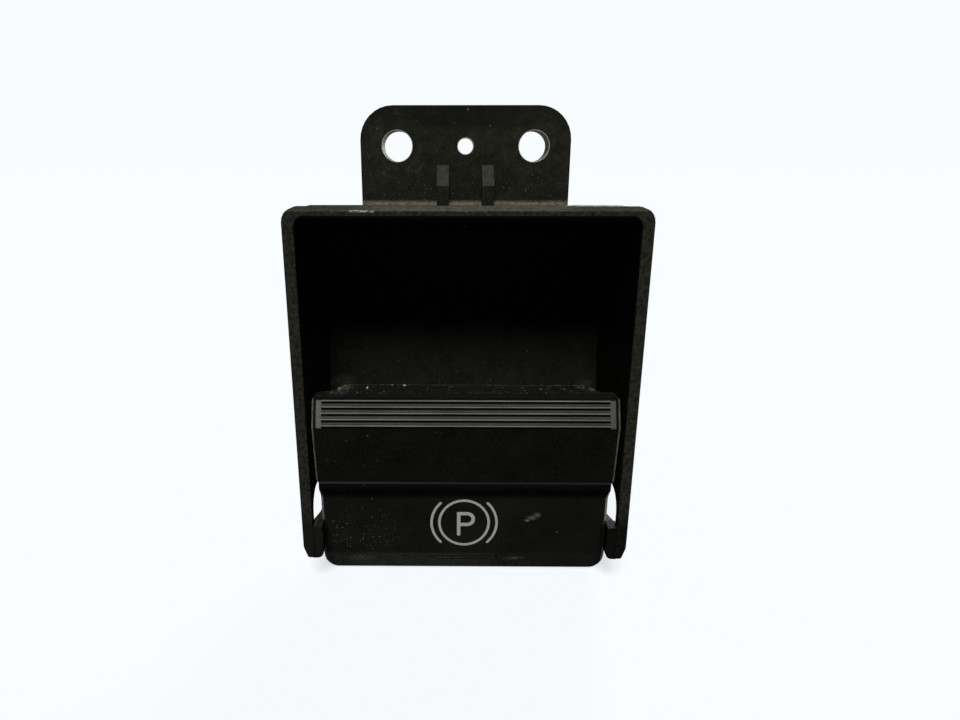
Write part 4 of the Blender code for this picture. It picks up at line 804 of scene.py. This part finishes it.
def add_symbol():
    """A ring between two arcs with a P in it, as such switches carry."""
    ink = print_finish()
    ring = circle((0, 0), RING_RADIUS, 0, 360, 96)[:-1]
    printed("symbol_ring", lambda shape: ribbon(shape, ring, RING_WIDTH * MM, closed=True), ink)
    reach = math.degrees(math.asin(ARC_RISE / ARC_RADIUS))
    for sign, side in SIDES:
        middle = 0 if sign > 0 else 180
        path = circle((sign * ARC_SHIFT, 0), ARC_RADIUS, middle - reach, middle + reach, 36)
        printed(f"symbol_arc_{side}", lambda shape, path=path: ribbon(shape, path, ARC_WIDTH * MM), ink)
    stem, bowl, stroke = -1.21, 0.72, 0.80
    top, waist, foot = 2.30, -0.44, -2.94
    letter = [(stem * MM, foot * MM), (stem * MM, top * MM)]
    letter += circle((bowl, (top + waist) / 2), (top - waist) / 2, 90, -90, 20)
    letter.append(((stem + stroke / 2) * MM, waist * MM))
    printed("symbol_letter", lambda shape: ribbon(shape, letter, stroke * MM, round_end=False), ink)


# Floor, light and background

def seen_directly(tree):
    """1 for camera and see-through rays, 0 for light and reflections."""
    path = tree.nodes.new("ShaderNodeLightPath")
    either = tree.nodes.new("ShaderNodeMath")
    either.operation = "MAXIMUM"
    tree.links.new(path.outputs["Is Camera Ray"], either.inputs[0])
    tree.links.new(path.outputs["Is Transmission Ray"], either.inputs[1])
    return either.outputs[0]


def add_world():
    """White behind the part, dim as light on it."""
    world = bpy.data.worlds.new("studio")
    bpy.context.scene.world = world
    world.use_nodes = True
    tree = world.node_tree
    seen = tree.nodes["Background"]
    seen.inputs["Color"].default_value = (*BACKDROP, 1.0)
    light = tree.nodes.new("ShaderNodeBackground")
    light.inputs["Color"].default_value = (*BACKDROP, 1.0)
    light.inputs["Strength"].default_value = WORLD_LIGHT
    mix = tree.nodes.new("ShaderNodeMixShader")
    tree.links.new(seen_directly(tree), mix.inputs[0])
    tree.links.new(light.outputs[0], mix.inputs[1])
    tree.links.new(seen.outputs[0], mix.inputs[2])
    tree.links.new(mix.outputs[0], tree.nodes["World Output"].inputs[0])


def add_floor():
    """A white floor that keeps the part's soft shadow."""
    height = cad_box[0][2] - FLOOR_GAP
    bpy.ops.mesh.primitive_plane_add(size=FLOOR_SIZE, location=(0.0, 0.0, height))
    floor = bpy.context.object
    floor.name = "floor"
    material = bpy.data.materials.new("floor")
    material.use_nodes = True
    tree = material.node_tree
    shader = tree.nodes["Principled BSDF"]
    shader.inputs["Roughness"].default_value = 1.0
    shader.inputs["Specular IOR Level"].default_value = 0.0
    shader.inputs["Base Color"].default_value = (*(FLOOR_TONE * value for value in BACKDROP), 1.0)
    level = tree.nodes.new("ShaderNodeMath")
    level.operation = "MULTIPLY"
    level.inputs[1].default_value = FLOOR_GLOW
    tree.links.new(seen_directly(tree), level.inputs[0])
    shader.inputs["Emission Color"].default_value = (*BACKDROP, 1.0)
    tree.links.new(level.outputs[0], shader.inputs["Emission Strength"])
    floor.data.materials.append(material)


def add_sun(name, azimuth, elevation, strength, angle):
    """A soft lamp; azimuth 0 shines from straight in front."""
    data = bpy.data.lights.new(name, "SUN")
    data.energy = strength
    data.angle = math.radians(angle)
    lamp = bpy.data.objects.new(name, data)
    way = Euler((math.radians(90.0 - elevation), 0.0, math.radians(azimuth)))
    lamp.rotation_euler = way
    bpy.context.scene.collection.objects.link(lamp)


def main():
    """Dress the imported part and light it."""
    add_camera()
    dress_nodes()
    add_symbol()
    add_world()
    add_floor()
    add_sun("key", azimuth=-4.0, elevation=50.0, strength=3.4, angle=20.0)
    add_sun("back", azimuth=160.0, elevation=9.0, strength=1.8, angle=20.0)
    bpy.context.scene.view_settings.view_transform = "Standard"


main()
